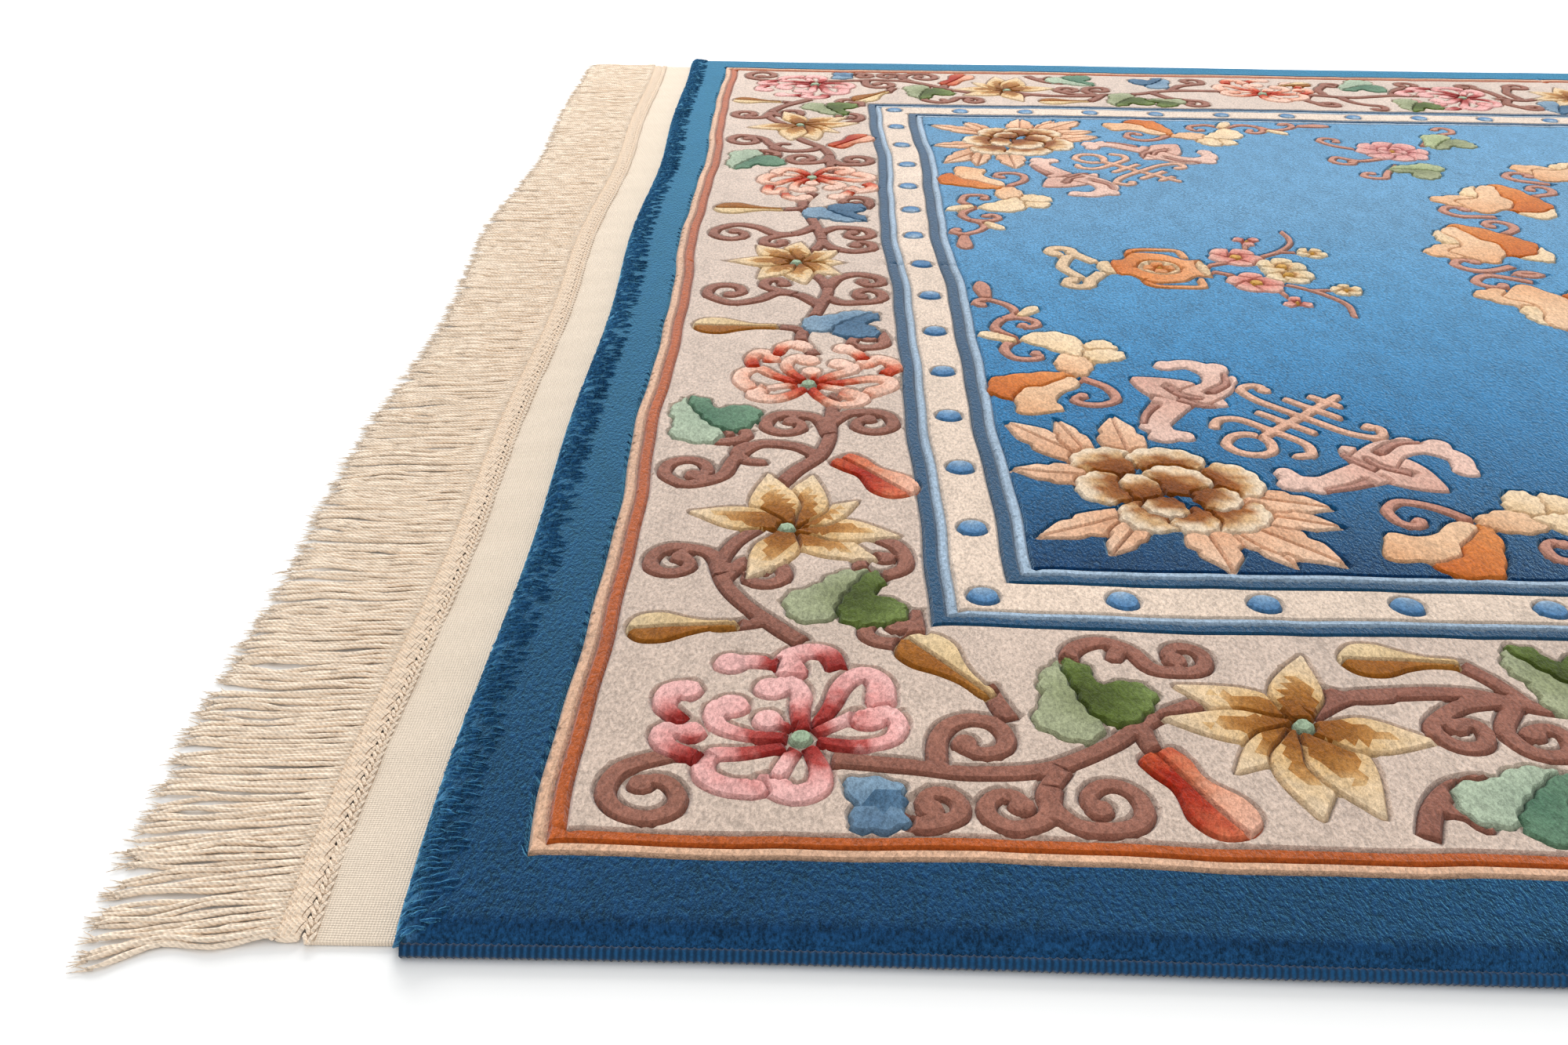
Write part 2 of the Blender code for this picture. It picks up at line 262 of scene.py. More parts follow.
def spiral(start, centre, turns):
    """Places from start inwards round a centre, anticlockwise where turns is above zero."""
    steps = np.linspace(0, 1, max(4, round(10 * abs(turns))))[1:]
    arm = start - centre
    return centre + arm * (1 - 0.62 * steps) * np.exp(2j * np.pi * turns * steps)


# %% [markdown]
# ## Shapes, and how a motif is placed
#
# A shape is an outline with a dye and the line, from root to tip, that the dye's shades follow. A motif is a
# list of shapes drawn at the origin. `place` turns, sizes and moves a motif and adds its shapes to the
# design. Shapes that are added later lie over earlier ones. Shapes of one family, such as the stems of a
# scroll, are carved as one, so that no groove crosses where they join.

# %% Shapes
design = []


def shape(outline, dye, root=0, tip=1, family=None):
    return {"outline": outline, "dye": dye, "root": complex(root), "tip": complex(tip), "family": family}


def place(motif, at, turn=0.0, size=1.0, mirrored=False):
    """Adds a motif to the design. turn is in degrees, and a mirrored motif is flipped before it is turned."""
    spin = size * np.exp(1j * math.radians(turn))
    for part in motif:
        moved = dict(part)
        for key in ("outline", "root", "tip"):
            value = part[key]
            moved[key] = complex(*at) + spin * (np.conj(value) if mirrored else value)
        design.append(moved)


def petal(side, length, width, dye, start=0.0, halved=None):
    """A petal along +x from a distance start, with one half in a second dye where halved names it."""
    tip = start + length
    parts = [shape(start + both_sides(side, length, width), dye, start, tip)]
    if halved:
        parts.append(shape(start + one_side(side, length, width), halved, start, tip))
    return parts


def turned(parts, degrees, size=1.0):
    spin = size * np.exp(1j * math.radians(degrees))
    return [dict(p, outline=p["outline"] * spin, root=p["root"] * spin, tip=p["tip"] * spin) for p in parts]


def shifted(parts, by):
    return [dict(p, outline=p["outline"] + by, root=p["root"] + by, tip=p["tip"] + by) for p in parts]


# %% [markdown]
# ## Border flowers
#
# Two flowers alternate along the border. The lotus has narrow dark spokes that open into round curled lobes.
# The lily has pointed petals with a golden flame at the root of each. Here a lotus petal is a ribbon that
# bends, widens and may end in a round bulb, and all of it is carved as one. A lily petal is one side of an
# outline, given as shares of its length and width, mirrored, and bent a little to one side.

# %% Lotus and lily
# columns: the places a petal runs through, its width at both ends, and the radius of its bulb
LOTUS_PETALS = [
    ([(0.20, 0.72), (0.15, 0.88), (0.00, 0.93), (-0.13, 0.84), (-0.09, 0.70)], (0.15, 0.22), 0),
    ([(0.06, 0.09), (0.16, 0.32), (0.23, 0.55), (0.36, 0.67), (0.47, 0.58), (0.48, 0.38)], (0.10, 0.21), 0),
    ([(0.00, 0.08), (-0.03, 0.30), (-0.03, 0.46), (-0.10, 0.57), (-0.22, 0.50)], (0.12, 0.17), 0.12),
    ([(0.08, 0.05), (0.20, 0.14), (0.34, 0.24)], (0.10, 0.13), 0),
    ([(0.10, -0.03), (0.36, -0.07), (0.54, -0.02), (0.60, 0.14), (0.52, 0.26), (0.41, 0.19)],
     (0.10, 0.16), 0.12),
    ([(0.06, -0.08), (0.13, -0.28), (0.11, -0.46), (-0.03, -0.54), (-0.16, -0.44)], (0.11, 0.22), 0),
    ([(-0.02, -0.10), (-0.07, -0.22), (-0.11, -0.34)], (0.11, 0.12), 0),
    ([(-0.08, -0.09), (-0.34, -0.17), (-0.54, -0.20), (-0.55, -0.37), (-0.42, -0.48), (-0.26, -0.50)],
     (0.10, 0.19), 0),
    ([(-0.08, 0.0), (-0.34, 0.01), (-0.52, 0.10), (-0.56, 0.27), (-0.46, 0.30)], (0.10, 0.16), 0.125),
    ([(-0.60, -0.22), (-0.80, -0.12), (-0.86, 0.02), (-0.74, 0.07), (-0.67, 0.02)], (0.13, 0.19), 0),
    ([(-0.74, 0.14), (-0.87, 0.28), (-0.86, 0.44), (-0.75, 0.46)], (0.11, 0.22), 0),
    ([(-0.19, 0.78), (-0.36, 0.80), (-0.50, 0.77)], (0.14, 0.17), 0.12),
    ([(-0.06, 0.09), (-0.16, 0.15), (-0.22, 0.17)], (0.07, 0.10), 0.105),
]
LOTUS_HEART, LILY_HEART = 0.08, 0.075
LILY_PETAL = [(0.0, 0.16), (0.16, 0.34), (0.34, 0.5), (0.52, 0.48), (0.68, 0.36), (0.84, 0.2), (1.0, 0.0)]
LILY_FLAME = [(0.0, 0.30), (0.30, 0.50), (0.60, 0.40), (0.85, 0.16), (1.0, 0.0)]
LILY_ROOT = 0.05
FLAME_LENGTH, FLAME_WIDTH = 0.72, 0.62
# columns: turn, length, width and bend of a petal
LILY_PETALS = [
    (140, 0.80, 0.38, 0.2), (88, 0.76, 0.36, -0.2), (189, 0.84, 0.36, -0.2), (217, 0.68, 0.28, 0.1),
    (253, 0.86, 0.42, 0.15), (294, 0.86, 0.42, -0.15), (338, 0.76, 0.37, 0.2),
]


def lotus(dye):
    parts = []
    for i, (through, widths, bulb) in enumerate(LOTUS_PETALS):
        path = smooth([complex(*place) for place in through])
        shades_end = path[0] + 1.35 * (path[len(path) // 2] - path[0])
        family = f"{dye} petal {i}"
        parts.append(shape(ribbon(path, *widths), dye, path[0], shades_end, family))
        if bulb:
            parts.append(shape(circle(path[-1], bulb), dye, path[0], shades_end, family))
    parts.append(shape(circle(0, LOTUS_HEART), "lotus heart"))
    return parts


def lily_petals(rows):
    """Pointed petals, each with a darker flame that rises from its root and isn't carved."""
    parts = []
    for turn, length, width, bend in rows:
        family = f"lily petal {turn}"
        whole = bent(LILY_ROOT + both_sides(LILY_PETAL, length, width), bend, length)
        inner = both_sides(LILY_FLAME, FLAME_LENGTH * length, FLAME_WIDTH * width)
        flame = bent(LILY_ROOT + inner, bend, length)
        petal_and_flame = [
            shape(whole, "lily", LILY_ROOT, LILY_ROOT + length, family),
            shape(flame, "lily flame", LILY_ROOT, LILY_ROOT + FLAME_LENGTH * length, family),
        ]
        parts += turned(petal_and_flame, turn)
    parts.append(shape(circle(0, LILY_HEART), "lotus heart"))
    return parts


# %% [markdown]
# ## Leaves and buds
#
# A vine leaf is folded in two, and one wing is worked pale and the other dark. Each wing is a closed curve
# with a margin of small bumps. The buds are bell shapes on a neck.

# %% Leaves and buds
BUD = [(0.0, 0.14), (0.25, 0.17), (0.45, 0.3), (0.66, 0.5), (0.88, 0.46), (1.0, 0.16)]
DROP = [(0.0, 0.3), (0.2, 0.36), (0.42, 0.3), (0.7, 0.5), (0.92, 0.4), (1.0, 0.0)]
PALE_WING = [
    (-0.16, 0.40), (-0.33, 0.22), (-0.34, -0.05), (-0.40, -0.30), (-0.15, -0.48), (0.02, -0.36),
    (0.02, -0.12), (-0.06, 0.12),
]
DARK_WING = [
    (-0.16, 0.42), (0.02, 0.34), (0.05, 0.16), (0.26, 0.20), (0.42, 0.07), (0.34, -0.14), (0.16, -0.28),
    (0.0, -0.20), (-0.10, 0.05),
]
SQUARE_LEAF = [
    (-0.18, 0.18), (0.0, 0.22), (0.17, 0.14), (0.16, -0.04), (0.19, -0.20), (0.02, -0.27), (-0.15, -0.22),
    (-0.13, -0.02),
]
SQUARE_SHADE = [(-0.06, 0.04), (0.10, 0.10), (0.19, 0.02), (0.12, -0.08), (-0.04, -0.06)]


def vine_leaf(pale, dark, size=1.0):
    wings = [
        shape(scalloped(PALE_WING, 13), pale, -0.02, complex(-0.38, -0.1)),
        shape(scalloped(DARK_WING, 13), dark, -0.06, 0.42),
    ]
    return turned(wings, 0, size)


def square_leaf():
    return [
        shape(scalloped(SQUARE_LEAF, 9), "blue leaf", -0.2j, 0.2j, "square leaf"),
        shape(scalloped(SQUARE_SHADE, 7, 0.02), "blue leaf dark", -0.06, 0.2, "square leaf"),
    ]


def gold_bud(length=0.85, width=0.42):
    return petal(BUD, length, width, "bud cream", halved="bud gold")


def red_bud(length=0.85, width=0.42):
    return petal(DROP, length, width, "red bud", halved="red bud tip")


def scroll(points, centre=None, turns=0.0, width=0.145, tip_width=0.125, family="border stem"):
    """A stem through these places that may end in a spiral round a centre, with a round bulb at its end."""
    knots = [complex(*p) for p in points]
    if centre:
        knots += list(spiral(knots[-1], complex(*centre), turns))
    path = smooth(knots)
    parts = [shape(ribbon(path, width, tip_width), family, path[0], path[-1], family)]
    if centre:
        parts.append(shape(circle(path[-1], 0.72 * tip_width), family, path[0], path[-1], family))
    return parts


# %% [markdown]
# ## The border's scrolls
#
# A stem wanders along each side of the border and throws off curls. Each row of these tables is one stem: the
# places it runs through, and the centre and turns of the spiral at its end. The carver's grooves make the
# stems look round, like cord laid on the ground.

# %% Scroll tables
# columns: places, and where the stem ends in a spiral, its centre and turns
END_SCROLLS = [
    ([(-1.28, -0.62), (-1.45, -0.45), (-1.74, -0.08), (-1.90, 0.32), (-1.84, 0.66), (-1.66, 0.92)],),
    ([(-1.88, 0.25), (-1.98, 0.52), (-2.22, 0.60)], (-2.24, 0.38), 0.95),
    ([(-1.86, 0.20), (-1.74, 0.42), (-1.56, 0.44)], (-1.58, 0.25), -0.95),
    ([(-0.78, 0.86), (-0.58, 0.68), (-0.52, 0.50)], (-0.73, 0.45), -0.9),
    ([(-0.52, -0.20), (-0.50, -0.42)], (-0.71, -0.45), -0.95),
    ([(-1.56, -0.36), (-1.72, -0.42), (-1.86, -0.46)],),
    ([(-1.55, 1.55), (-1.38, 1.88), (-1.16, 2.18), (-1.06, 2.52), (-1.05, 2.90), (-1.02, 3.40)],),
    ([(-1.16, 2.18), (-1.36, 2.36), (-1.66, 2.38), (-1.86, 2.10), (-1.98, 1.78), (-2.24, 1.62)],
     (-2.22, 1.88), -0.95),
    ([(-1.72, 2.38), (-1.84, 2.24), (-1.76, 2.06), (-1.64, 2.04)],),
    ([(-1.06, 2.60), (-1.16, 2.90), (-1.42, 3.00)], (-1.42, 2.77), 0.95),
    ([(-1.05, 2.82), (-0.90, 3.02), (-0.68, 3.06)], (-0.70, 2.82), -0.95),
    ([(-2.16, 2.52), (-2.00, 2.42), (-1.84, 2.46)], (-1.90, 2.60), 0.7),
    ([(-1.22, 4.35), (-1.36, 4.80), (-1.24, 5.30), (-1.14, 5.80), (-1.10, 6.30), (-1.34, 6.90)],),
    ([(-1.32, 5.00), (-1.48, 5.04), (-1.62, 5.06)],),
    ([(-1.16, 5.68), (-1.40, 5.98), (-1.64, 6.02), (-1.84, 5.80), (-2.10, 5.70), (-2.32, 5.86)],
     (-2.14, 6.04), -0.85),
    ([(-1.44, 6.00), (-1.70, 6.16)], (-1.62, 6.32), -0.7),
    ([(-1.12, 5.95), (-0.94, 5.76), (-0.70, 5.78)], (-0.68, 6.00), 0.9),
    ([(-1.10, 6.20), (-0.98, 6.48), (-0.78, 6.62), (-0.58, 6.56)], (-0.64, 6.40), -0.7),
    ([(-0.58, 4.98), (-0.52, 4.78)], (-0.72, 4.70), -0.9),
    ([(-1.98, -1.84), (-2.28, -2.00), (-2.36, -2.22)], (-2.10, -2.22), 0.85),
]
SIDE_SCROLLS = [
    ([(-1.05, -1.86), (-0.60, -1.93), (-0.20, -1.98), (0.25, -1.92), (0.62, -1.68),
      (0.90, -1.42), (1.30, -1.18)],),
    ([(-0.42, -1.95), (-0.40, -1.66)], (-0.15, -1.66), -0.95),
    ([(0.05, -1.44), (-0.02, -1.26), (-0.06, -1.12)],),
    ([(0.32, -1.92), (0.20, -2.18), (0.32, -2.42), (0.52, -2.46)], (0.56, -2.22), 0.9),
    ([(0.24, -2.10), (0.18, -2.36), (0.02, -2.46)], (-0.02, -2.28), -0.75),
    ([(-0.72, -2.34), (-0.56, -2.46), (-0.42, -2.44)], (-0.44, -2.28), 0.85),
    ([(0.50, -0.90), (0.52, -0.66), (0.72, -0.54), (0.92, -0.64), (1.04, -0.84), (1.26, -0.86)],
     (1.26, -0.68), 0.85),
    ([(0.86, -0.58), (0.80, -0.72)],),
    ([(0.86, -1.44), (0.88, -1.62), (0.92, -1.76)],),
    ([(1.95, -1.30), (2.24, -1.12), (2.62, -1.06), (3.04, -1.06), (3.42, -1.18),
      (3.90, -1.26), (4.50, -1.52), (5.30, -1.56)],),
    ([(2.02, -1.02), (2.26, -1.12), (2.5, -1.1)],),
    ([(3.10, -0.72), (3.24, -0.90), (3.36, -1.12)],),
    ([(3.22, -1.12), (2.92, -1.20), (2.70, -1.38)], (2.88, -1.46), 0.9),
    ([(3.28, -1.16), (3.14, -1.42), (3.20, -1.62)], (3.36, -1.50), 0.8),
    ([(2.30, -2.44), (2.42, -2.20), (2.60, -2.00), (2.82, -1.92)], (2.78, -2.04), -0.8),
    ([(2.44, -2.18), (2.60, -2.24), (2.66, -2.34)],),
    ([(4.20, -1.38), (4.44, -1.02), (4.72, -0.90)], (4.76, -0.68), 0.9),
    ([(4.50, -1.52), (4.72, -1.84), (4.96, -1.98)], (4.98, -2.20), -0.95),
    ([(6.55, -1.46), (7.00, -1.36), (7.50, -1.30), (8.00, -1.44), (8.60, -1.44)],),
    ([(6.70, -1.40), (6.60, -1.06), (6.72, -0.84)], (6.90, -0.82), -0.9),
    ([(7.20, -1.34), (7.30, -0.98), (7.52, -0.80)], (7.56, -0.60), 0.6),
    ([(7.00, -1.40), (6.98, -1.80), (7.14, -2.08)], (7.30, -2.10), 0.95),
    ([(8.10, -1.44), (8.24, -1.82), (8.46, -2.02)], (8.52, -2.22), -0.9),
    ([(9.70, -1.34), (10.1, -1.26), (10.5, -1.40), (11.02, -1.46)],),
    ([(9.86, -1.30), (9.78, -1.00), (9.92, -0.76)], (10.08, -0.80), -0.9),
    ([(10.1, -1.30), (10.04, -1.72), (10.16, -2.06)], (10.36, -2.12), 0.95),
    ([(9.86, -1.36), (9.76, -1.80), (9.62, -2.04)], (9.48, -2.14), -0.8),
]
for stem in END_SCROLLS + SIDE_SCROLLS:
    place(scroll(*stem), (0, 0))
print(len(design), "pieces of scroll")

# %% [markdown]
# ## The border's flowers, leaves and buds
#
# Each row says which motif lies where, how far it is turned and how large it is drawn.

# %% Border motifs
green = vine_leaf("pale leaf", "dark leaf")
teal = vine_leaf("pale teal", "dark teal")
blue = vine_leaf("blue leaf", "blue leaf dark", 0.92)
pink, coral = lotus("pink lotus"), lotus("coral lotus")
lily = lily_petals(LILY_PETALS)
# columns: motif, place, turn, size
BORDER = [
    (green, (-0.92, -0.08), -40, 1.0),
    (gold_bud(), (-1.74, -0.42), 186, 0.88),
    (pink, (-1.24, -1.66), 0, 1.0),
    (gold_bud(), (-0.06, -1.20), 128, 0.98),
    (lily, (-1.43, 0.95), 175, 1.0),
    (red_bud(), (-0.98, 2.15), -50, 1.0),
    (teal, (-2.08, 2.90), 12, 1.05),
    (coral, (-1.27, 3.66), -55, 1.0),
    (gold_bud(), (-1.60, 5.06), 180, 1.0),
    (blue, (-0.86, 5.14), -60, 1.05),
    (square_leaf(), (-0.80, -2.25), 0, 1.0),
    (green, (0.60, -1.18), 0, 1.0),
    (red_bud(), (0.90, -1.72), -62, 1.0),
    (lily, (1.88, -1.42), 0, 1.0),
    (gold_bud(), (3.10, -0.72), 176, 0.92),
    (green, (3.76, -0.82), 20, 0.95),
    (teal, (3.06, -2.16), -60, 0.95),
    (green, (4.30, -0.74), 100, 0.7),
    (blue, (4.30, -2.10), 200, 0.95),
    (coral, (6.00, -1.46), 160, 1.0),
    (gold_bud(), (6.40, -2.02), -18, 0.7),
    (teal, (7.78, -2.02), 40, 1.0),
    (pink, (9.20, -1.40), 40, 1.0),
    (blue, (10.56, -0.78), 10, 0.95),
    (green, (8.30, -0.80), 10, 0.9),
]
for row in BORDER:
    place(*row)

# %% [markdown]
# ## Flowers on the middle lines
#
# The lily in the middle of each side, the vases and the middle of the rug lie on a mirror line of the design,
# so they're drawn symmetric about it.

# %% Middle lilies
MIRRORED_LILY = [
    (180, 0.50, 0.30, 0), (132, 0.60, 0.34, 0.15), (-132, 0.60, 0.34, -0.15), (88, 0.66, 0.36, 0.15),
    (-88, 0.66, 0.36, -0.15), (44, 0.66, 0.36, 0.15), (-44, 0.66, 0.36, -0.15), (0, 0.72, 0.34, 0),
]
middle_lily = lily_petals(MIRRORED_LILY)
place(middle_lily, (-1.42, MIDDLE.imag), 180)
place(middle_lily, (MIDDLE.real, -1.42), -90)
print("middle lilies of", len(middle_lily), "shapes")

# %% [markdown]
# ## The field's corner
#
# A big peony fills each corner of the field, with pointed leaves behind it. Two bats, signs of luck, flank a
# plain fret on the diagonal, and small leaves and scrolls run out along the sides. This corner group is the
# same on both sides of its diagonal, so most of it is placed twice, once with x and y exchanged.

# %% Peony, bats and fret
ROUND_PETAL = [(0.0, 0.26), (0.3, 0.42), (0.6, 0.5), (0.84, 0.4), (0.96, 0.2), (1.0, 0.0)]
LONG_LEAF = [
    (0.0, 0.2), (0.18, 0.40), (0.36, 0.5), (0.50, 0.5), (0.56, 0.38), (0.68, 0.40), (0.84, 0.22), (1.0, 0.0),
]
# columns: root, turn, length and width of a leaf or petal
PEONY_LEAVES = [
    (1.15, 2.15, 131, 1.00, 0.44), (1.12, 2.26, 103, 0.76, 0.28), (1.46, 2.26, 90, 0.84, 0.42),
    (1.12, 1.92, 174, 0.72, 0.36), (1.30, 1.30, 208, 0.94, 0.38), (1.34, 1.20, 240, 0.66, 0.30),
    (1.78, 1.15, 277, 0.74, 0.42), (2.04, 1.16, 296, 0.76, 0.30), (2.06, 1.18, 316, 0.96, 0.44),
    (2.16, 1.32, -16, 0.76, 0.34), (2.16, 1.60, -14, 0.78, 0.38),
]
PEONY_PETALS = [
    (1.32, 1.98, 112, 0.46, 0.58), (1.72, 2.00, 82, 0.44, 0.64), (1.98, 1.82, 14, 0.46, 0.60),
    (1.38, 1.70, 176, 0.46, 0.54), (1.60, 1.42, 224, 0.48, 0.52), (1.94, 1.44, -48, 0.46, 0.56),
    (1.76, 1.38, -94, 0.38, 0.38), (1.66, 1.66, 66, 0.46, 0.54), (1.46, 1.48, 96, 0.48, 0.30),
    (1.84, 1.62, -24, 0.36, 0.38), (1.62, 1.54, 246, 0.30, 0.36),
]
RUFFLED = [
    (-0.10, 0.0), (0.12, 0.32), (0.58, 0.52), (0.98, 0.28), (1.0, -0.22), (0.60, -0.52), (0.14, -0.34),
]


def ring_of_petals(rows, side, dye, halved=None):
    parts = []
    for turn, start, length, width in rows:
        parts += turned(petal(side, length, width, dye, start, halved), turn)
    return parts


def spray(rows, side, dye, halved=None):
    """Petals or leaves that each grow from a place of their own."""
    parts = []
    for x, y, turn, length, width in rows:
        parts += shifted(turned(petal(side, length, width, dye, 0.0, halved), turn), complex(x, y))
    return parts


def peony():
    """Long leaves, and over them ruffled petals that are brown at the root."""
    parts = spray(PEONY_LEAVES, LONG_LEAF, "peach leaf", "peach leaf dark")
    for x, y, turn, length, width in PEONY_PETALS:
        ruffled = scalloped([(along * length, across * width) for along, across in RUFFLED], 9, 0.028)
        parts += shifted(turned([shape(ruffled, "peony", 0, length)], turn), complex(x, y))
    return parts


BAT_BODY = [(0.0, 0.0), (0.10, 0.20), (0.30, 0.42), (0.52, 0.5), (0.72, 0.36), (0.86, 0.24), (1.0, 0.0)]
BAT_WINGS = [
    [(-0.02, -0.02), (-0.16, -0.26), (-0.27, -0.50), (-0.22, -0.70), (-0.08, -0.76)],
    [(0.10, 0.0), (0.40, 0.26), (0.47, 0.56), (0.28, 0.80), (0.04, 0.78)],
]
BAT_FOLDS = [
    [(0.34, 0.16), (0.52, 0.36), (0.56, 0.58)], [(-0.20, -0.10), (-0.32, -0.30), (-0.38, -0.50)],
    [(0.02, 0.02), (0.20, -0.12), (0.32, -0.14)], [(-0.04, 0.30), (0.06, 0.10), (0.22, 0.02)],
]


def bat():
    """A bat as this kind of rug draws it: two wings that curl at their ends, and a slanting pointed body."""
    parts = []
    tail = complex(-0.34, 0.50)
    body = bent(both_sides(BAT_BODY, 1.02, 0.56), 0.12, 1.02) * np.exp(-0.25j * np.pi)
    parts.append(shape(tail + body, "bat", tail, tail + 0.9 - 0.9j))
    for wing, bulb in zip(BAT_WINGS, (0.10, 0.115)):
        path = smooth([complex(*place) for place in wing])
        parts.append(shape(ribbon(path, 0.40, 0.19), "bat", 0, path[-1], "bat wing"))
        parts.append(shape(circle(path[-1], bulb), "bat", 0, path[-1], "bat wing"))
        for place in path[len(path) // 4 : -len(path) // 5 : len(path) // 5]:
            parts.append(shape(circle(place * 1.14, 0.13), "bat", 0, path[-1], "bat wing"))
    for fold in BAT_FOLDS:
        path = smooth([complex(*place) for place in fold])
        parts.append(shape(ribbon(path, 0.11, 0.06), "bat dark", path[0], path[-1], "bat fold"))
    return parts


# columns: place along the fret's long axis, and how far the bar reaches to each side
FRET_BARS = [(0.68, 0.15), (0.46, 0.27), (0.02, 0.28)]
FRET_WIDTH = 0.105


def fret():
    """A plain fret of crossing bars, a ring and curled ends, the same on both sides of its long axis."""
    wide = {"width": FRET_WIDTH, "tip_width": FRET_WIDTH, "family": "fret"}
    bars = scroll([(-0.42, 0.0), (0.86, 0.0)], **wide)
    for along, reach in FRET_BARS:
        bars += scroll([(along, -reach), (along, reach)], **wide)
    for side in (1, -1):
        bars += scroll([(0.24, 0.0), (0.24, side * 0.40), (0.32, side * 0.66)], (0.44, side * 0.56),
                       -side * 0.5, **wide)
        bars += scroll([(-0.22, 0.0), (-0.24, side * 0.34), (-0.38, side * 0.46), (-0.52, side * 0.40)],
                       **wide)
    ring = -0.60 + 0.20 * np.exp(1j * np.linspace(0.2, 2 * np.pi - 0.2, 24))
    bars.append(shape(ribbon(ring, FRET_WIDTH, FRET_WIDTH), "fret", 0, 1, "fret"))
    return bars


# Each lobe of a field leaf: its dye, and a few places round it.
ORANGE_LEAF = [
    ("orange leaf", [(0.42, 3.50), (0.44, 3.84), (0.72, 3.97), (0.98, 4.04), (1.20, 4.02), (1.26, 3.84),
                     (0.98, 3.72), (0.72, 3.60), (0.60, 3.40)]),
    ("orange leaf pale", [(0.66, 3.06), (0.62, 3.34), (0.70, 3.60), (0.96, 3.74), (1.16, 3.92), (1.28, 3.80),
                          (1.14, 3.62), (1.00, 3.46), (1.04, 3.18), (0.84, 3.10)]),
]
CREAM_LEAF = [
    ("orange leaf pale",
     [(1.13, 4.08), (1.10, 4.34), (1.26, 4.54), (1.46, 4.44), (1.46, 4.20), (1.32, 3.96)]),
    ("cream leaf", [(0.84, 4.80), (0.92, 4.98), (1.22, 5.04), (1.42, 4.86), (1.48, 4.62), (1.38, 4.42),
                    (1.18, 4.52), (1.02, 4.66)]),
    ("cream leaf", [(1.44, 4.76), (1.64, 4.86), (1.76, 4.66), (1.62, 4.56), (1.46, 4.60)]),
    ("cream leaf", [(1.40, 4.54), (1.64, 4.62), (1.80, 4.54), (1.76, 4.38), (1.52, 4.28), (1.42, 4.38)]),
]


def field_leaf(rows):
    """A leaf of a few lobes with scalloped margins. Its shades run from the lower left to the upper right."""
    parts = []
    for dye, places in rows:
        outline = scalloped(places, 9, 0.028)
        low = complex(outline.real.min(), outline.imag.min())
        high = complex(outline.real.max(), outline.imag.max())
        parts.append(shape(outline, dye, low, high))
    return parts


def centred(parts, size=1.0):
    """The motif moved so that the middle of its first shape lies at the origin."""
    return turned(shifted(parts, -parts[0]["outline"].mean()), 0, size)


def exchanged(motif):
    """The motif with x and y exchanged."""
    return [
        dict(p, outline=1j * np.conj(p["outline"]), root=1j * np.conj(p["root"]), tip=1j * np.conj(p["tip"]))
        for p in motif
    ]


def gather(rows):
    """Several placed motifs as one motif. Each row has a motif, its place and, where it has one, its turn."""
    before = len(design)
    for row in rows:
        place(*row)
    motif = design[before:]
    del design[before:]
    return motif


orange = field_leaf(ORANGE_LEAF)
cream = field_leaf(CREAM_LEAF)
FIELD_STEMS = [
    ([(1.28, 3.92), (1.50, 3.70), (1.56, 3.46), (1.42, 3.32), (1.22, 3.34)], (1.26, 3.46), -0.4),
    ([(0.80, 4.84), (0.65, 4.63), (0.70, 4.38), (0.86, 4.34)], (0.90, 4.46), 0.4),
    ([(0.84, 4.80), (0.62, 5.10), (0.68, 5.34), (0.86, 5.54), (0.80, 5.76), (0.62, 5.92)],),
    ([(0.70, 5.38), (0.88, 5.42), (1.04, 5.32)], (0.94, 5.24), -0.5),
    ([(0.64, 5.94), (0.52, 5.90)], (0.54, 5.80), 0.4),
]
FIELD_STEM = {"width": 0.12, "tip_width": 0.10, "family": "field stem"}
stems = []
for stem in FIELD_STEMS:
    stems += scroll(*stem, **FIELD_STEM)
corner_half = gather([
    (stems, (0, 0)),
    (orange, (0, 0)),
    (cream, (0, 0)),
    (petal(ROUND_PETAL, 0.40, 0.20, "cream leaf"), (0.78, 4.80), 152),
    (petal(ROUND_PETAL, 0.36, 0.17, "cream leaf"), (0.88, 5.46), 52),
    (petal(ROUND_PETAL, 0.50, 0.20, "field stem"), (0.60, 5.98), 95),
    (bat(), (2.10, 3.45)),
])
place(corner_half, (0, 0))
place(exchanged(corner_half), (0, 0))
place(fret(), (2.98, 2.98), 45)
place(peony(), (0, 0))

# %% [markdown]
# ## The vase, the sprigs and the middle
#
# At each end of the field a vase lies on its side with plum blossom in it. A sprig floats in each quarter,
# and a wreath of leaf pairs and curls rings the peony in the middle.

# %% Vase, sprig and wreath
BLOSSOM_PETAL = [(0.0, 0.3), (0.4, 0.46), (0.75, 0.5), (0.95, 0.26), (1.0, 0.0)]
VASE_SIDE = [(0.0, 0.22), (0.12, 0.26), (0.3, 0.5), (0.62, 0.48), (0.8, 0.28), (0.92, 0.3), (1.0, 0.26)]


def blossom(dye, count=5, size=0.3):
    parts = []
    for k in range(count):
        parts += turned(petal(BLOSSOM_PETAL, size, size * 0.95, dye, start=0.02), 360 / count * k + 90)
    parts.append(shape(circle(0, 0.27 * size), "blossom heart"))
    return parts


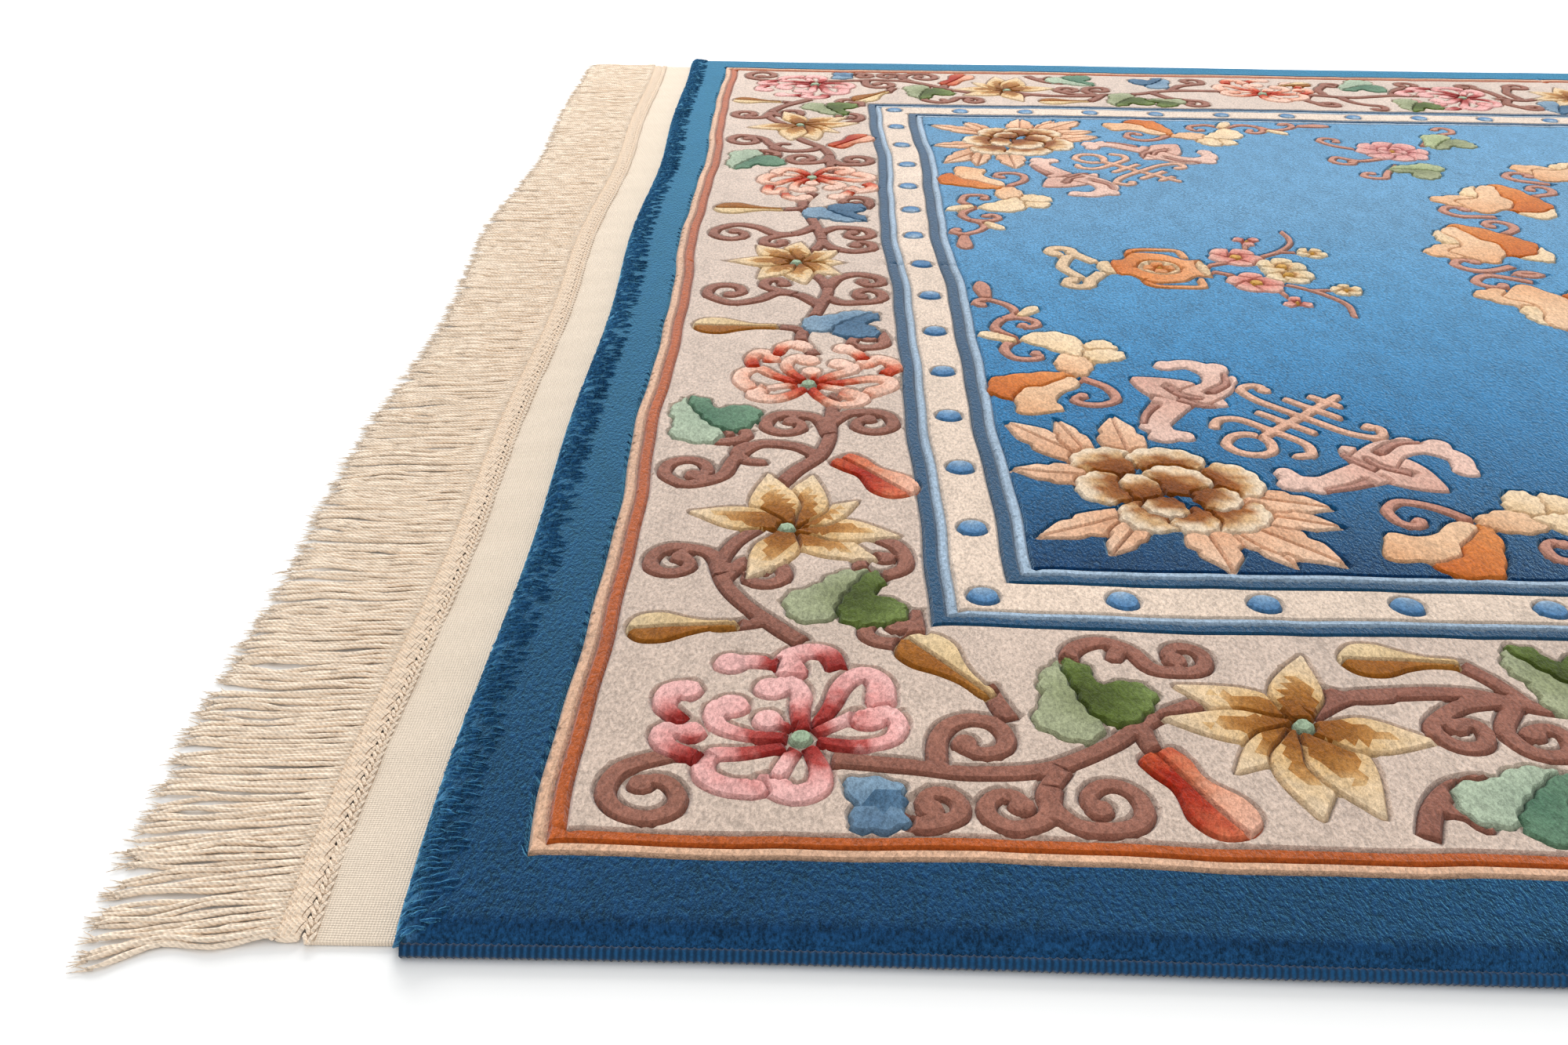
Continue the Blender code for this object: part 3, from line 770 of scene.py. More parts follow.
twigs = []
for side in (1, -1):
    twigs += scroll([(3.15, 7 + side * 0.06), (3.7, 7 + side * 0.34), (4.15, 7 + side * 0.62),
                     (4.42, 7 + side * 1.02), (4.40, 7 + side * 1.38)], width=0.10, tip_width=0.07,
                    family="field stem")
    twigs += scroll([(4.15, 7 + side * 0.62), (4.46, 7 + side * 0.60)], width=0.08, tip_width=0.07,
                    family="field stem")
    twigs += scroll([(3.75, 7 + side * 0.40), (3.86, 7 + side * 0.92)], width=0.08, tip_width=0.06,
                    family="field stem")
    twigs += scroll([(1.98, 7 + side * 0.16), (1.80, 7 + side * 0.44)], (1.62, 7 + side * 0.50), side * 0.7,
                    0.17, 0.14, "stand")
twigs += scroll([(1.72, 6.60), (1.58, 7.0), (1.72, 7.40)], width=0.15, tip_width=0.15, family="stand")
for side in (1, -1):
    twigs += scroll([(2.42, 7 + side * 0.38), (2.46, 7 + side * 0.56), (2.72, 7 + side * 0.62),
                     (3.00, 7 + side * 0.58), (3.04, 7 + side * 0.36)],
                    width=0.10, tip_width=0.10, family="vase")
place(twigs, (0, 0))
body = both_sides(VASE_SIDE, 1.05, 0.96)
foot = both_sides([(0.0, 0.3), (0.4, 0.5), (1.0, 0.34), (1.02, 0.0)], 0.26, 0.42)
VASE = [
    ([shape(foot, "vase cream", 0, 0.2)], (1.98, 7.0)),
    ([shape(body, "vase", 0, 1.05)], (2.16, 7.0)),
    ([shape(circle(0, 0.24), "vase cream", -0.2, 0.2)], (2.66, 7.0)),
    (blossom("vase", 4, 0.17), (2.66, 7.0)),
    ([shape(both_sides([(0, 0.3), (0.5, 0.5), (1, 0.2)], 0.12, 0.52), "vase cream", 0, 0.1)], (3.10, 7.0)),
]
for side in (1, -1):
    VASE += [
        (blossom("blossom pink", 5, 0.30), (3.62, 7 + side * 0.42)),
        (blossom("blossom white", 5, 0.27), (4.06, 7 + side * 0.13), 20 * side),
        (blossom("blossom white", 5, 0.17), (4.54, 7 + side * 0.60)),
        (blossom("blossom pink", 3, 0.16), (3.90, 7 + side * 1.00)),
    ]
for row in VASE:
    place(*row)
SPRIG_STEM = {"width": 0.11, "tip_width": 0.10, "family": "field stem"}
SPRIG = [
    (scroll([(6.55, 1.90), (6.24, 1.72), (6.10, 1.50)], (6.26, 1.40), 0.7, **SPRIG_STEM), (0, 0)),
    (scroll([(6.70, 2.30), (6.30, 2.46), (6.06, 2.30)], (6.10, 2.52), -0.7, **SPRIG_STEM), (0, 0)),
    (scroll([(6.76, 2.60), (6.52, 2.96), (6.42, 3.24)], (6.26, 3.14), 0.7, **SPRIG_STEM), (0, 0)),
    (scroll([(7.50, 1.60), (7.80, 1.10), (8.04, 0.94)], (8.06, 0.72), -0.7, **SPRIG_STEM), (0, 0)),
    (ring_of_petals([(k * 45, 0.10, 0.42, 0.36) for k in range(8)], ROUND_PETAL, "sprig pink"), (6.95, 1.92)),
    (blossom("sprig pink", 5, 0.2), (6.95, 1.92)),
    (vine_leaf("sprig leaf", "pale leaf", 0.95), (7.92, 1.44), 20),
    (vine_leaf("sprig leaf", "pale leaf", 0.9), (6.96, 2.92), 80),
]
for row in SPRIG:
    place(*row)

WREATH_PAIRS = 14
WREATH_RADIUS = 4.45
PAIR_REACH = 1.2
CURLS = 8
CURL_RADIUS = 2.55
MIDDLE_AT = (MIDDLE.real, MIDDLE.imag)
for k in range(WREATH_PAIRS):
    turn = 360 / WREATH_PAIRS * (k + 0.5)
    out = np.exp(1j * math.radians(turn))
    at = MIDDLE + WREATH_RADIUS * out
    if at.real > MIDDLE.real + PAIR_REACH or at.imag > MIDDLE.imag + PAIR_REACH:
        continue
    rows = [
        (scroll([(-0.2, -0.7), (0.1, -0.95)], (0.25, -0.75), 0.7, 0.13, 0.11, "field stem"), (0, 0)),
        (scroll([(-0.25, 0.45), (-0.45, 0.75)], (-0.25, 0.85), -0.7, 0.13, 0.11, "field stem"), (0, 0)),
        (centred(cream, 1.35), (0.34, -0.30), 60),
        (centred(orange, 1.30), (-0.16, 0.26), 20),
    ]
    place(gather(rows), (at.real, at.imag), turn)
curl = scroll([(-0.5, -0.35), (0.0, -0.5), (0.34, -0.2)], (0.14, 0.0), 0.8, 0.14, 0.12, "field stem")
for k in range(CURLS):
    turn = 360 / CURLS * (k + 0.5)
    at = MIDDLE + CURL_RADIUS * np.exp(1j * math.radians(turn))
    place(curl, (at.real, at.imag), turn)
long_leaves = [(k * 36, 0.95, 0.85, 0.5) for k in range(10)]
place(ring_of_petals(long_leaves, LONG_LEAF, "peach leaf", "peach leaf dark"), MIDDLE_AT)
place(ring_of_petals([(k * 36 + 18, 0.5, 0.7, 0.62) for k in range(10)], ROUND_PETAL, "peony"), MIDDLE_AT)
place(ring_of_petals([(k * 60, 0.18, 0.55, 0.56) for k in range(6)], ROUND_PETAL, "peony"), MIDDLE_AT)
heart = [(k * 90 + 45, 0.0, 0.32, 0.34) for k in range(4)]
place(ring_of_petals(heart, ROUND_PETAL, "peony heart"), MIDDLE_AT)

# %% [markdown]
# ## Pearls
#
# The pearls are drawn last. Their wool is pale on one side, as if each caught the light.

# %% Pearls
PEARL_RADIUS = 0.122
# Each pearl's shades run from the painted highlight on one side to the deeper blue on the other.
for i in range(12):
    place([shape(circle(0, PEARL_RADIUS), "pearl", 0.1j, -0.1j)], (i, 0))
for i in range(1, 8):
    place([shape(circle(0, PEARL_RADIUS), "pearl", 0.1j, -0.1j)], (0, i))
print(len(design), "shapes in a quarter of the design")

# %% [markdown]
# ## Which outlines are carved
#
# Where one shape lies over another, the lower outline is hidden and isn't carved. Counting how often an
# outline winds round a point tells whether the point is inside it, also for a stem that crosses itself.

# %% Hidden outlines
BEYOND_MIDDLE = 0.05


def inside(points, outline):
    found = np.zeros(len(points), bool)
    low = complex(outline.real.min(), outline.imag.min())
    high = complex(outline.real.max(), outline.imag.max())
    near = (points.real > low.real) & (points.real < high.real)
    near &= (points.imag > low.imag) & (points.imag < high.imag)
    p = points[near][:, None]
    a = outline[None, :]
    b = np.roll(outline, -1)[None, :]
    left = ((b - a).conj() * (p - a)).imag
    up = (a.imag <= p.imag) & (b.imag > p.imag) & (left > 0)
    down = (a.imag > p.imag) & (b.imag <= p.imag) & (left < 0)
    found[near] = up.sum(axis=1) != down.sum(axis=1)
    return found


def carved_segments():
    """The ends of every stretch of outline that shows, as one array of places and one of index pairs."""
    places, pairs, count = [], [], 0
    for i, part in enumerate(design):
        points = part["outline"]
        past = MIDDLE + BEYOND_MIDDLE * (1 + 1j)
        hidden = (points.real > past.real) | (points.imag > past.imag)
        for j, other in enumerate(design):
            same = part["family"] is not None and part["family"] == other["family"]
            if j > i or (same and j != i):
                hidden |= inside(points, other["outline"])
        following = np.roll(np.arange(len(points)), -1)
        shows = ~(hidden & hidden[following])
        keep = shows | np.roll(shows, 1)
        number = np.cumsum(keep) - 1 + count
        places.append(points[keep])
        pairs.append(np.stack([number[shows], number[following][shows]], axis=1))
        count += int(keep.sum())
    return np.concatenate(places), np.concatenate(pairs)


outline_places, outline_pairs = carved_segments()
print(len(outline_places), "places on the outlines that show")

# %% [markdown]
# ## The frame lines
#
# Straight stripes run round the rug: a blue outer band, two thin lines, the border, and a guard of five
# stripes that holds the pearls. In one quarter each is an L, and it reaches from the line named here inwards.

# %% Frame lines
# columns: where the stripe starts, its dye
STRIPES = [
    (EDGE, "band blue"), (-2.755, "peach stripe"), (-2.66, "rust stripe"), (-2.555, "border ground"),
    (-0.39, "guard blue"), (-0.275, "guard pale"), (-0.195, "guard cream"), (0.195, "guard blue"),
    (0.315, "guard pale"), (0.405, "field blue with painted shade"),
]
RIM_ROWS = [0.010, 0.030, 0.06, 0.10]


def elbow(offset, spacing):
    """Places along the L at this offset, from the middle of one side round the corner to the other."""
    up = np.linspace(MIDDLE.imag, offset, round((MIDDLE.imag - offset) / spacing) + 1)
    along = np.linspace(offset, MIDDLE.real, round((MIDDLE.real - offset) / spacing) + 1)
    return np.concatenate([offset + 1j * up, along[1:] + 1j * offset])


def chain(places, start):
    numbers = start + np.arange(len(places))
    return np.stack([numbers[:-1], numbers[1:]], axis=1)


places, pairs = [outline_places], [outline_pairs]
count = len(outline_places)
for offset, _ in STRIPES:
    line = elbow(offset, 0.06 if offset == EDGE else 0.07)
    places.append(line)
    pairs.append(chain(line, count))
    count += len(line)
for line in (
    np.linspace(complex(EDGE, MIDDLE.imag), MIDDLE, 160),
    np.linspace(complex(MIDDLE.real, EDGE), MIDDLE, 120),
):
    places.append(line)
    pairs.append(chain(line, count))
    count += len(line)
print(len(STRIPES), "stripes")

# %% [markdown]
# ## Points beside and between the outlines
#
# The carver's groove is about four millimetres wide. A row of points on each side of every outline keeps its
# slopes smooth, and a loose net of points fills what is left. A kd-tree finds the points that lie too close
# to an outline, so that no sliver is made.

# %% Shoulders and fill
CLOSE = 0.62 * GROOVE_WIDTH
FINE_NET, COARSE_WITHIN = 0.085, 0.16


def tree_of(points):
    tree = KDTree(len(points))
    for i, p in enumerate(points):
        tree.insert((p.real, p.imag, 0), i)
    tree.balance()
    return tree


def distances(tree, points):
    return np.array([tree.find((p.real, p.imag, 0))[2] for p in points])


def thinned(points, spacing):
    """The points, with at most one in each square of this size."""
    cells = np.round(np.stack([points.real, points.imag], axis=1) / spacing).astype(np.int64)
    return points[np.sort(np.unique(cells, axis=0, return_index=True)[1])]


lines = np.concatenate(places)
links = np.concatenate(pairs)
along = lines[links[:, 1]] - lines[links[:, 0]]
along = along / np.maximum(np.abs(along), 1e-9)
heading = np.zeros(len(lines), complex)
np.add.at(heading, links[:, 0], along)
np.add.at(heading, links[:, 1], along)
aside = 1j * heading / np.maximum(np.abs(heading), 1e-9) * GROOVE_WIDTH
centres = (lines[links[:, 0]] + lines[links[:, 1]]) / 2
shoulders = np.concatenate([lines + aside, lines - aside])
shoulders = thinned(shoulders, 0.6 * GROOVE_WIDTH)
line_tree = tree_of(np.concatenate([lines, centres]))
shoulders = shoulders[distances(line_tree, shoulders) > CLOSE]
rims = np.concatenate([elbow(EDGE + row, 0.06) for row in RIM_ROWS])
grid_x, grid_y = np.meshgrid(np.arange(EDGE, MIDDLE.real, FINE_NET),
                             np.arange(EDGE, MIDDLE.imag, FINE_NET * 0.87))
row_number = np.round((grid_y - EDGE) / (FINE_NET * 0.87)).astype(int)
column_number = np.round((grid_x - EDGE) / FINE_NET).astype(int)
net = grid_x + FINE_NET / 2 * (row_number % 2) + 1j * grid_y
sparse = ((row_number % 2 == 0) & (column_number % 2 == 0)).ravel()
net = net.ravel()
off = distances(line_tree, net)
net = net[(off > 1.55 * GROOVE_WIDTH) & ((off < COARSE_WITHIN) | sparse)]
filling = np.concatenate([shoulders, rims, net])
filling = filling[(filling.real < MIDDLE.real - 0.02) & (filling.imag < MIDDLE.imag - 0.02)]
filling = filling[(filling.real > EDGE + 0.005) & (filling.imag > EDGE + 0.005)]
print(len(lines), "places on lines,", len(filling), "beside and between them")

# %% [markdown]
# ## One quarter of the rug as a net of triangles
#
# Blender's own Delaunay tool joins all these points so that every outline runs along edges of triangles.
# Then each triangle belongs to exactly one shape, and colours meet in a crisp line, as two dyes meet between
# knots.

# %% Triangles of a quarter
points_in = [Vector((p.real, p.imag)) for p in np.concatenate([lines, filling])]
made = delaunay_2d_cdt(points_in, links.tolist(), [], 0, 1e-6, False)
spots = np.array([complex(v.x, v.y) for v in made[0]])
triangles = np.array([f for f in made[2] if len(f) == 3])
for value in (EDGE, MIDDLE.real):
    spots.real[np.abs(spots.real - value) < 1e-5] = value
for value in (EDGE, MIDDLE.imag):
    spots.imag[np.abs(spots.imag - value) < 1e-5] = value
middles = spots[triangles].mean(axis=1)
kept = (middles.real < MIDDLE.real) & (middles.imag < MIDDLE.imag)
kept &= (middles.real > EDGE) & (middles.imag > EDGE)
a, b, c = spots[triangles].T
kept &= np.abs(((b - a).conj() * (c - a)).imag) > 1e-9
triangles, middles = triangles[kept], middles[kept]
used, renumbered = np.unique(triangles, return_inverse=True)
spots, triangles = spots[used], renumbered.reshape(-1, 3)
print(len(spots), "points and", len(triangles), "triangles in a quarter")

# %% [markdown]
# ## Which shape each triangle belongs to
#
# The stripes come first, then the shapes in the order in which they were placed.

# %% Regions
inwards = np.minimum(middles.real, middles.imag)
region = np.searchsorted([offset for offset, _ in STRIPES], inwards) - 1
for i, part in enumerate(design):
    region[inside(middles, part["outline"])] = len(STRIPES) + i
families = [f"stripe {i}" for i in range(len(STRIPES))]
families += [part["family"] or f"shape {i}" for i, part in enumerate(design)]
family_number = np.unique(families, return_inverse=True)[1][region]

edges = np.sort(np.concatenate([triangles[:, [0, 1]], triangles[:, [1, 2]], triangles[:, [2, 0]]]), axis=1)
owner = np.tile(np.arange(len(triangles)), 3)
order = np.lexsort((edges[:, 1], edges[:, 0]))
edges, owner = edges[order], owner[order]
twin = np.flatnonzero((edges[1:] == edges[:-1]).all(axis=1))
grooved = twin[family_number[owner[twin]] != family_number[owner[twin + 1]]]
groove_ends = edges[grooved]
single = np.ones(len(edges), bool)
single[twin] = False
single[twin + 1] = False
border_spots = np.unique(edges[single])
print(len(grooved), "edges are carved and", len(border_spots), "points lie on the quarter's border")

# %% [markdown]
# ## Height of the pile
#
# The carver's blade leaves a groove like a V with round shoulders. Each petal then rises a millimetre above
# the ground and is clipped round. The sheared ground itself is never quite level, and the outer edge of the
# pile rolls over where nothing holds the tufts upright.

# %% Height
ROLL = 8.5 * MM
UNEVEN = 0.35 * MM
centre_points = (spots[groove_ends[:, 0]] + spots[groove_ends[:, 1]]) / 2
groove_tree = tree_of(np.concatenate([spots[groove_ends[:, 0]], spots[groove_ends[:, 1]], centre_points]))
off_groove = distances(groove_tree, spots)
on_motif = np.zeros(len(spots))
on_motif[triangles[region >= len(STRIPES)].ravel()] = 1
groove = np.clip(1 - off_groove / GROOVE_WIDTH, 0, 1)
rise = np.clip(off_groove / RAISED_WITHIN, 0, 1)
rise = RAISED * (1 - (1 - rise) ** 2)
carved = PILE_HEIGHT - RAISED * 0.4 + on_motif * rise - GROOVE_DEPTH * groove**1.4


def hill(x, y):
    """Low hills on a sheared pile, from a few crossing waves: about 1 at most."""
    wide = np.sin(17 * x + 3 * np.sin(11 * y)) + np.sin(19 * y + 2 * np.sin(13 * x + 1))
    small = np.sin(143 * x + 61 * y) + np.sin(97 * y - 119 * x + 2) + np.sin(201 * x - 33 * y + 4)
    return 0.3 * wide + 0.2 * small


def rolled_edge(x, y):
    """Moves points near the pile's outer edge in and down, so that the edge is round."""
    qx = np.clip(1 - (half_length - np.abs(x)) / ROLL, 0, None)
    qy = np.clip(1 - (half_width - np.abs(y)) / ROLL, 0, None)
    reach = np.hypot(qx, qy)
    pull = np.where(reach > 1, 1 / np.maximum(reach, 1e-9), 1)
    drop = ROLL * (1 - np.sqrt(1 - np.clip(reach, 0, 1) ** 2))
    return x - np.sign(x) * ROLL * (qx - qx * pull), y - np.sign(y) * ROLL * (qy - qy * pull), drop


print("pile from", round(carved.min() * 1000, 1), "to", round(carved.max() * 1000, 1), "mm high")

# %% [markdown]
# ## Colour of the wool
#
# Every corner of every triangle takes its shade from its shape's dye. The shades spread in rings from the
# shape's root and end at the distance of its tip, and a little unevenness stands for the knots of one shade
# that stray into the next. In a groove the colour is painted darker: a painted shade for the shadow that
# falls between the sides of the tufts there.

# %% Colour
# How much the painted shade darkens the colour at the bottom of a groove.
GROOVE_PAINTED_SHADE = 0.20
corner_spots = spots[triangles]
colours = np.ones((len(triangles), 3, 4))
stray = 0.06 * np.sin(47 * spots.real + 29 * spots.imag) + 0.07 * np.sin(83 * spots.imag - 61 * spots.real)
for number in np.unique(region):
    mine = region == number
    if number < len(STRIPES):
        colours[mine, :, :3] = shade(STRIPES[number][1], 0.0)
        continue
    part = design[number - len(STRIPES)]
    share = np.abs(corner_spots[mine] - part["root"]) / max(abs(part["tip"] - part["root"]), 1e-9)
    dye = part["dye"]
    colours[mine, :, :3] = shade(dye, np.clip(share + stray[triangles[mine]], 0, 1))
# Painted shade: the colour is darkened towards the bottom of every groove.
colours[..., :3] *= (1 - GROOVE_PAINTED_SHADE * groove[triangles])[..., None]
print("coloured", len(np.unique(region)), "regions")

# %% [markdown]
# ## Materials
#
# One small function adds a node with its settings and links. Every material below is built from it, and each
# one's pattern is sized from a real thread or tuft.

# %% Material tools


def new_material(name):
    material = bpy.data.materials.new(name)
    material.use_nodes = True
    return material


def add_node(material, kind, settings=None, links=None):
    """Adds a node, sets its properties and inputs, and links other nodes' outputs into it."""
    tree = material.node_tree
    node = tree.nodes.new(kind)
    for key, value in (settings or {}).items():
        if isinstance(key, int) or key in node.inputs:
            node.inputs[key].default_value = value
        else:
            setattr(node, key, value)
    for key, (source, output) in (links or {}).items():
        tree.links.new(source.outputs[output], node.inputs[key])
    return node


def surface(material, settings):
    """Sets the main shader's own values."""
    shader = material.node_tree.nodes["Principled BSDF"]
    for key, value in settings.items():
        shader.inputs[key].default_value = value
    return shader


# %% [markdown]
# ## Cut-pile wool
#
# Dyed sheep's wool, hand-knotted and sheared. A knot's two ends stand about three millimetres apart, and
# their fibres open at the top, so the face is a soft grain. Seen from above the eye looks down between the
# tufts, and seen along the rug it meets their lit tips, which is what sheen stands for. Deep dyes show that
# most, so the blue wools have a strong blue sheen, the pale ground a weak white one and the motifs hardly
# any. The grain is drawn about twice as coarse as fibre, because real fibre is finer than a pixel of the
# picture.

# %% Wool of the pile
KNOT = 2.6 * MM
TUFT_TIP = 0.8 * MM


def pile_material(name, sheen, roughness, tint, contrast):
    wool = new_material(name)
    where = add_node(wool, "ShaderNodeTexCoord")
    dye = add_node(wool, "ShaderNodeVertexColor", {"layer_name": "Dye"})
    lean = add_node(wool, "ShaderNodeMapping", {"Scale": (1.0, 0.45, 1.0), "Rotation": (0, 0, 0.12)},
                    {"Vector": (where, "Object")})
    tips = add_node(wool, "ShaderNodeTexNoise", {"Scale": 0.5 / TUFT_TIP, "Detail": 2.0, "Roughness": 0.75},
                    {"Vector": (lean, "Vector")})
    knots = add_node(wool, "ShaderNodeTexVoronoi", {"Scale": 1 / KNOT, "Randomness": 1.0},
                     {"Vector": (lean, "Vector")})
    combed = add_node(wool, "ShaderNodeTexNoise", {"Scale": 60.0, "Detail": 3.0, "Roughness": 0.6},
                      {"Vector": (lean, "Vector")})
    sweep = add_node(wool, "ShaderNodeTexNoise", {"Scale": 6.0, "Detail": 2.0}, {"Vector": (where, "Object")})
    tufts = add_node(wool, "ShaderNodeMath", {"operation": "MULTIPLY_ADD", 1: -0.2},
                     {0: (knots, "Distance"), 2: (tips, "Fac")})
    grain = add_node(wool, "ShaderNodeMath", {"operation": "MULTIPLY_ADD", 1: 0.3},
                     {0: (combed, "Fac"), 2: (tufts, "Value")})
    light = add_node(wool, "ShaderNodeMapRange", {"From Min": 0.36, "From Max": 0.76, "To Min": 1 - contrast,
                                                  "To Max": 1 + contrast}, {"Value": (grain, "Value")})
    shaded = add_node(wool, "ShaderNodeMapRange", {"From Min": 0.3, "From Max": 0.7, "To Min": 0.94,
                                                   "To Max": 1.06}, {"Value": (sweep, "Fac")})
    both = add_node(wool, "ShaderNodeMath", {"operation": "MULTIPLY"},
                    {0: (light, "Result"), 1: (shaded, "Result")})
    tinted = add_node(wool, "ShaderNodeVectorMath", {"operation": "SCALE"},
                      {"Vector": (dye, "Color"), "Scale": (both, "Value")})
    bump = add_node(wool, "ShaderNodeBump", {"Strength": 0.9, "Distance": 1.6 * MM},
                    {"Height": (grain, "Value")})
    look = {"Roughness": 0.95, "Sheen Weight": sheen, "Sheen Roughness": roughness, "Sheen Tint": tint}
    shader = surface(wool, look | {"Specular IOR Level": 0.1})
    wool.node_tree.links.new(tinted.outputs["Vector"], shader.inputs["Base Color"])
    wool.node_tree.links.new(bump.outputs["Normal"], shader.inputs["Normal"])
    return wool


ground_wool = pile_material("cut_pile_wool_pale_ground", 0.35, 0.42, (0.92, 0.96, 1.0, 1), 0.28)
motif_wool = pile_material("cut_pile_wool_motif_dyes", 0.12, 0.42, (0.92, 0.96, 1.0, 1), 0.28)
band_wool = pile_material("cut_pile_wool_deep_blue", 1.0, 0.42, (0.18, 0.60, 0.90, 1), 0.66)
field_wool = pile_material("cut_pile_wool_field_blue", 1.0, 0.30, (0.42, 0.68, 0.90, 1), 0.52)
WOOLS = [motif_wool, ground_wool, band_wool, field_wool]
WOOL_OF = {"band blue": 2, "field blue with painted shade": 3}
stripe_wool = np.array([WOOL_OF.get(dye, 1) for _, dye in STRIPES])
print("wools:", [wool.name for wool in WOOLS])

# %% [markdown]
# ## Making a piece
#
# One function turns points and faces into an object, makes it ride on the rug's body, and gives it its finish
# slot.

# %% Piece maker


def make_piece(name, points, faces, material, sharp=None):
    mesh = bpy.data.meshes.new(name)
    mesh.from_pydata(np.asarray(points).tolist(), [], faces)
    mesh.update()
    mesh.polygons.foreach_set("use_smooth", np.ones(len(mesh.polygons), bool))
    if sharp:
        mesh.set_sharp_from_angle(angle=math.radians(sharp))
    mesh.materials.append(material)
    piece = bpy.data.objects.new(name, mesh)
    bpy.context.scene.collection.objects.link(piece)
    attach(piece, "root")
    return piece


# %% [markdown]
# ## The pile, in four mirrored quarters
#
# The design is the same in all four quarters, so the net is made once and mirrored. Each quarter gets walls
# and a flat bottom that lies just above the cotton ground, which makes it a closed body.

# %% Pile quarters
GROUND = 2.9 * MM
# Where the edge rolls over, the colour is painted lighter, towards the lit tips of the tufts: a painted light
# for the sides of the tufts catching the light there. These are shares of the way to their lightest shade.
SIDE_PAINTED_LIGHT = 0.12
END_PAINTED_LIGHT = 0.60
BULGE = 2.2 * MM
# The field's colour is painted darker along the near side and lighter further off: a painted shade for a nap
# that looks deep where the eye looks down into it and light where the eye meets its tips. The field's colour
# runs through its four stops between these two places across the rug, in metres.
FIELD_PAINTED_DARK_AT = -0.53
FIELD_PAINTED_LIGHT_AT = 0.18
flat_places = (spots - MIDDLE) * PITCH


def lap(place):
    """How far round the quarter's border a place on it lies, counted from the outer corner."""
    x, y = place.real + half_length, place.imag + half_width
    on_side = y < 1e-7
    on_inner = x > half_length - 1e-7
    on_top = y > half_width - 1e-7
    total = np.where(on_side, x,
                     np.where(on_inner, half_length + y, half_length + half_width + half_length - x))
    return np.where(on_side | on_inner | on_top, total, 2 * half_length + 2 * half_width - y)


rim = border_spots[np.argsort(lap(flat_places[border_spots]))]


def pile_quarter(name, turn_x, turn_y):
    x, y = turn_x * flat_places.real, turn_y * flat_places.imag
    in_x, in_y, drop = rolled_edge(x, y)
    in_x += np.sign(x) * BULGE * (drop / ROLL) ** 2 * (np.abs(x) > half_length - ROLL)
    in_y += np.sign(y) * BULGE * (drop / ROLL) ** 2 * (np.abs(y) > half_width - ROLL)
    out_x, out_y = on_the_rug(in_x, in_y)
    height = carved - drop + UNEVEN * hill(out_x, out_y) * (drop < 1e-6)
    top = np.stack([out_x, out_y, height], axis=1)
    foot = top[rim] * [1, 1, 0] + [0, 0, GROUND]
    count, ring = len(top), len(rim)
    upper = rim.tolist()
    lower = list(range(count, count + ring))
    flip = turn_x * turn_y < 0
    faces = (triangles[:, ::-1] if flip else triangles).tolist()
    for i in range(ring):
        j = (i + 1) % ring
        wall = [upper[j], upper[i], lower[i], lower[j]]
        faces.append(wall[::-1] if flip else wall)
    faces.append(lower if flip else lower[::-1])
    piece = make_piece(name, np.concatenate([top, foot]), faces, motif_wool, sharp=32)
    mesh = piece.data
    for wool in WOOLS[1:]:
        mesh.materials.append(wool)
    finish = np.full(len(faces), 2)
    finish[: len(triangles)] = np.append(stripe_wool, 0)[np.minimum(region, len(STRIPES))]
    mesh.polygons.foreach_set("material_index", finish)
    dye_and_painted_light = colours.copy()
    # Painted shade: the field's colour runs from dark at the near side to light further off.
    in_field = finish[: len(triangles)] == 3
    lies = shade("field blue with painted shade", (out_y[triangles[in_field]] - FIELD_PAINTED_DARK_AT) / (FIELD_PAINTED_LIGHT_AT - FIELD_PAINTED_DARK_AT))
    dye_and_painted_light[in_field, :, :3] *= lies / shade("field blue with painted shade", 0.0)
    # Painted light: where the edge rolls over, the colour is mixed towards the lit tips, more at the ends
    # than along the sides.
    lit = np.sqrt(np.clip(drop / ROLL, 0, 1))[triangles] * (region == 0)[:, None]
    at_end = (np.abs(x) > half_length - ROLL)[triangles]
    painted_edge_light = shade("band blue painted light", np.where(at_end, END_PAINTED_LIGHT, SIDE_PAINTED_LIGHT))
    dye_and_painted_light[..., :3] += lit[..., None] * (painted_edge_light - dye_and_painted_light[..., :3])
    face_colours = dye_and_painted_light[:, ::-1] if flip else dye_and_painted_light
    # The walls take the same painted light as the rolled sides.
    wall_colours = np.ones((4 * ring + ring, 4))
    wall_colours[:, :3] = shade("band blue painted light", SIDE_PAINTED_LIGHT)
    mesh.color_attributes.new("Dye", "FLOAT_COLOR", "CORNER")
    every = np.concatenate([face_colours.reshape(-1, 4), wall_colours])
    mesh.color_attributes["Dye"].data.foreach_set("color", every.ravel())
    mesh.uv_layers.new(name="OFBake")
    at = np.zeros(3 * len(mesh.vertices))
    mesh.vertices.foreach_get("co", at)
    corner = np.zeros(len(mesh.loops), int)
    mesh.loops.foreach_get("vertex_index", corner)
    at = at.reshape(-1, 3)[corner]
    place_on_map = np.stack([np.abs(at[:, 0]) / 1.25 + 0.01, np.abs(at[:, 1]) / 1.25 + 0.01], axis=1)
    mesh.uv_layers["OFBake"].data.foreach_set("uv", place_on_map.ravel())
    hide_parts("pile")
    return piece


QUARTERS = [("pile_near_left", 1, 1), ("pile_near_right", -1, 1), ("pile_far_left", 1, -1),
            ("pile_far_right", -1, -1)]
quarters = [pile_quarter(*row) for row in QUARTERS]
print("pile:", sum(len(piece.data.polygons) for piece in quarters), "faces")

# %% [markdown]
# ## The cotton ground and the back
#
# Seen from below, a knotted rug shows the collar of every knot in its dye, in rows between the wefts. The
# back here is a thin sheet that carries the design's bands, with the knots as small bumps.

# %% Foundation
KNOT_ROWS = 2.8 * MM


def band_lines(half, middle):
    """Where a band starts along one direction, from the middle of the rug out to its edge."""
    offsets = [(middle - offset) * PITCH for offset, _ in STRIPES]
    offsets[0] = half - 0.6 * MM
    return np.array(sorted(offsets))


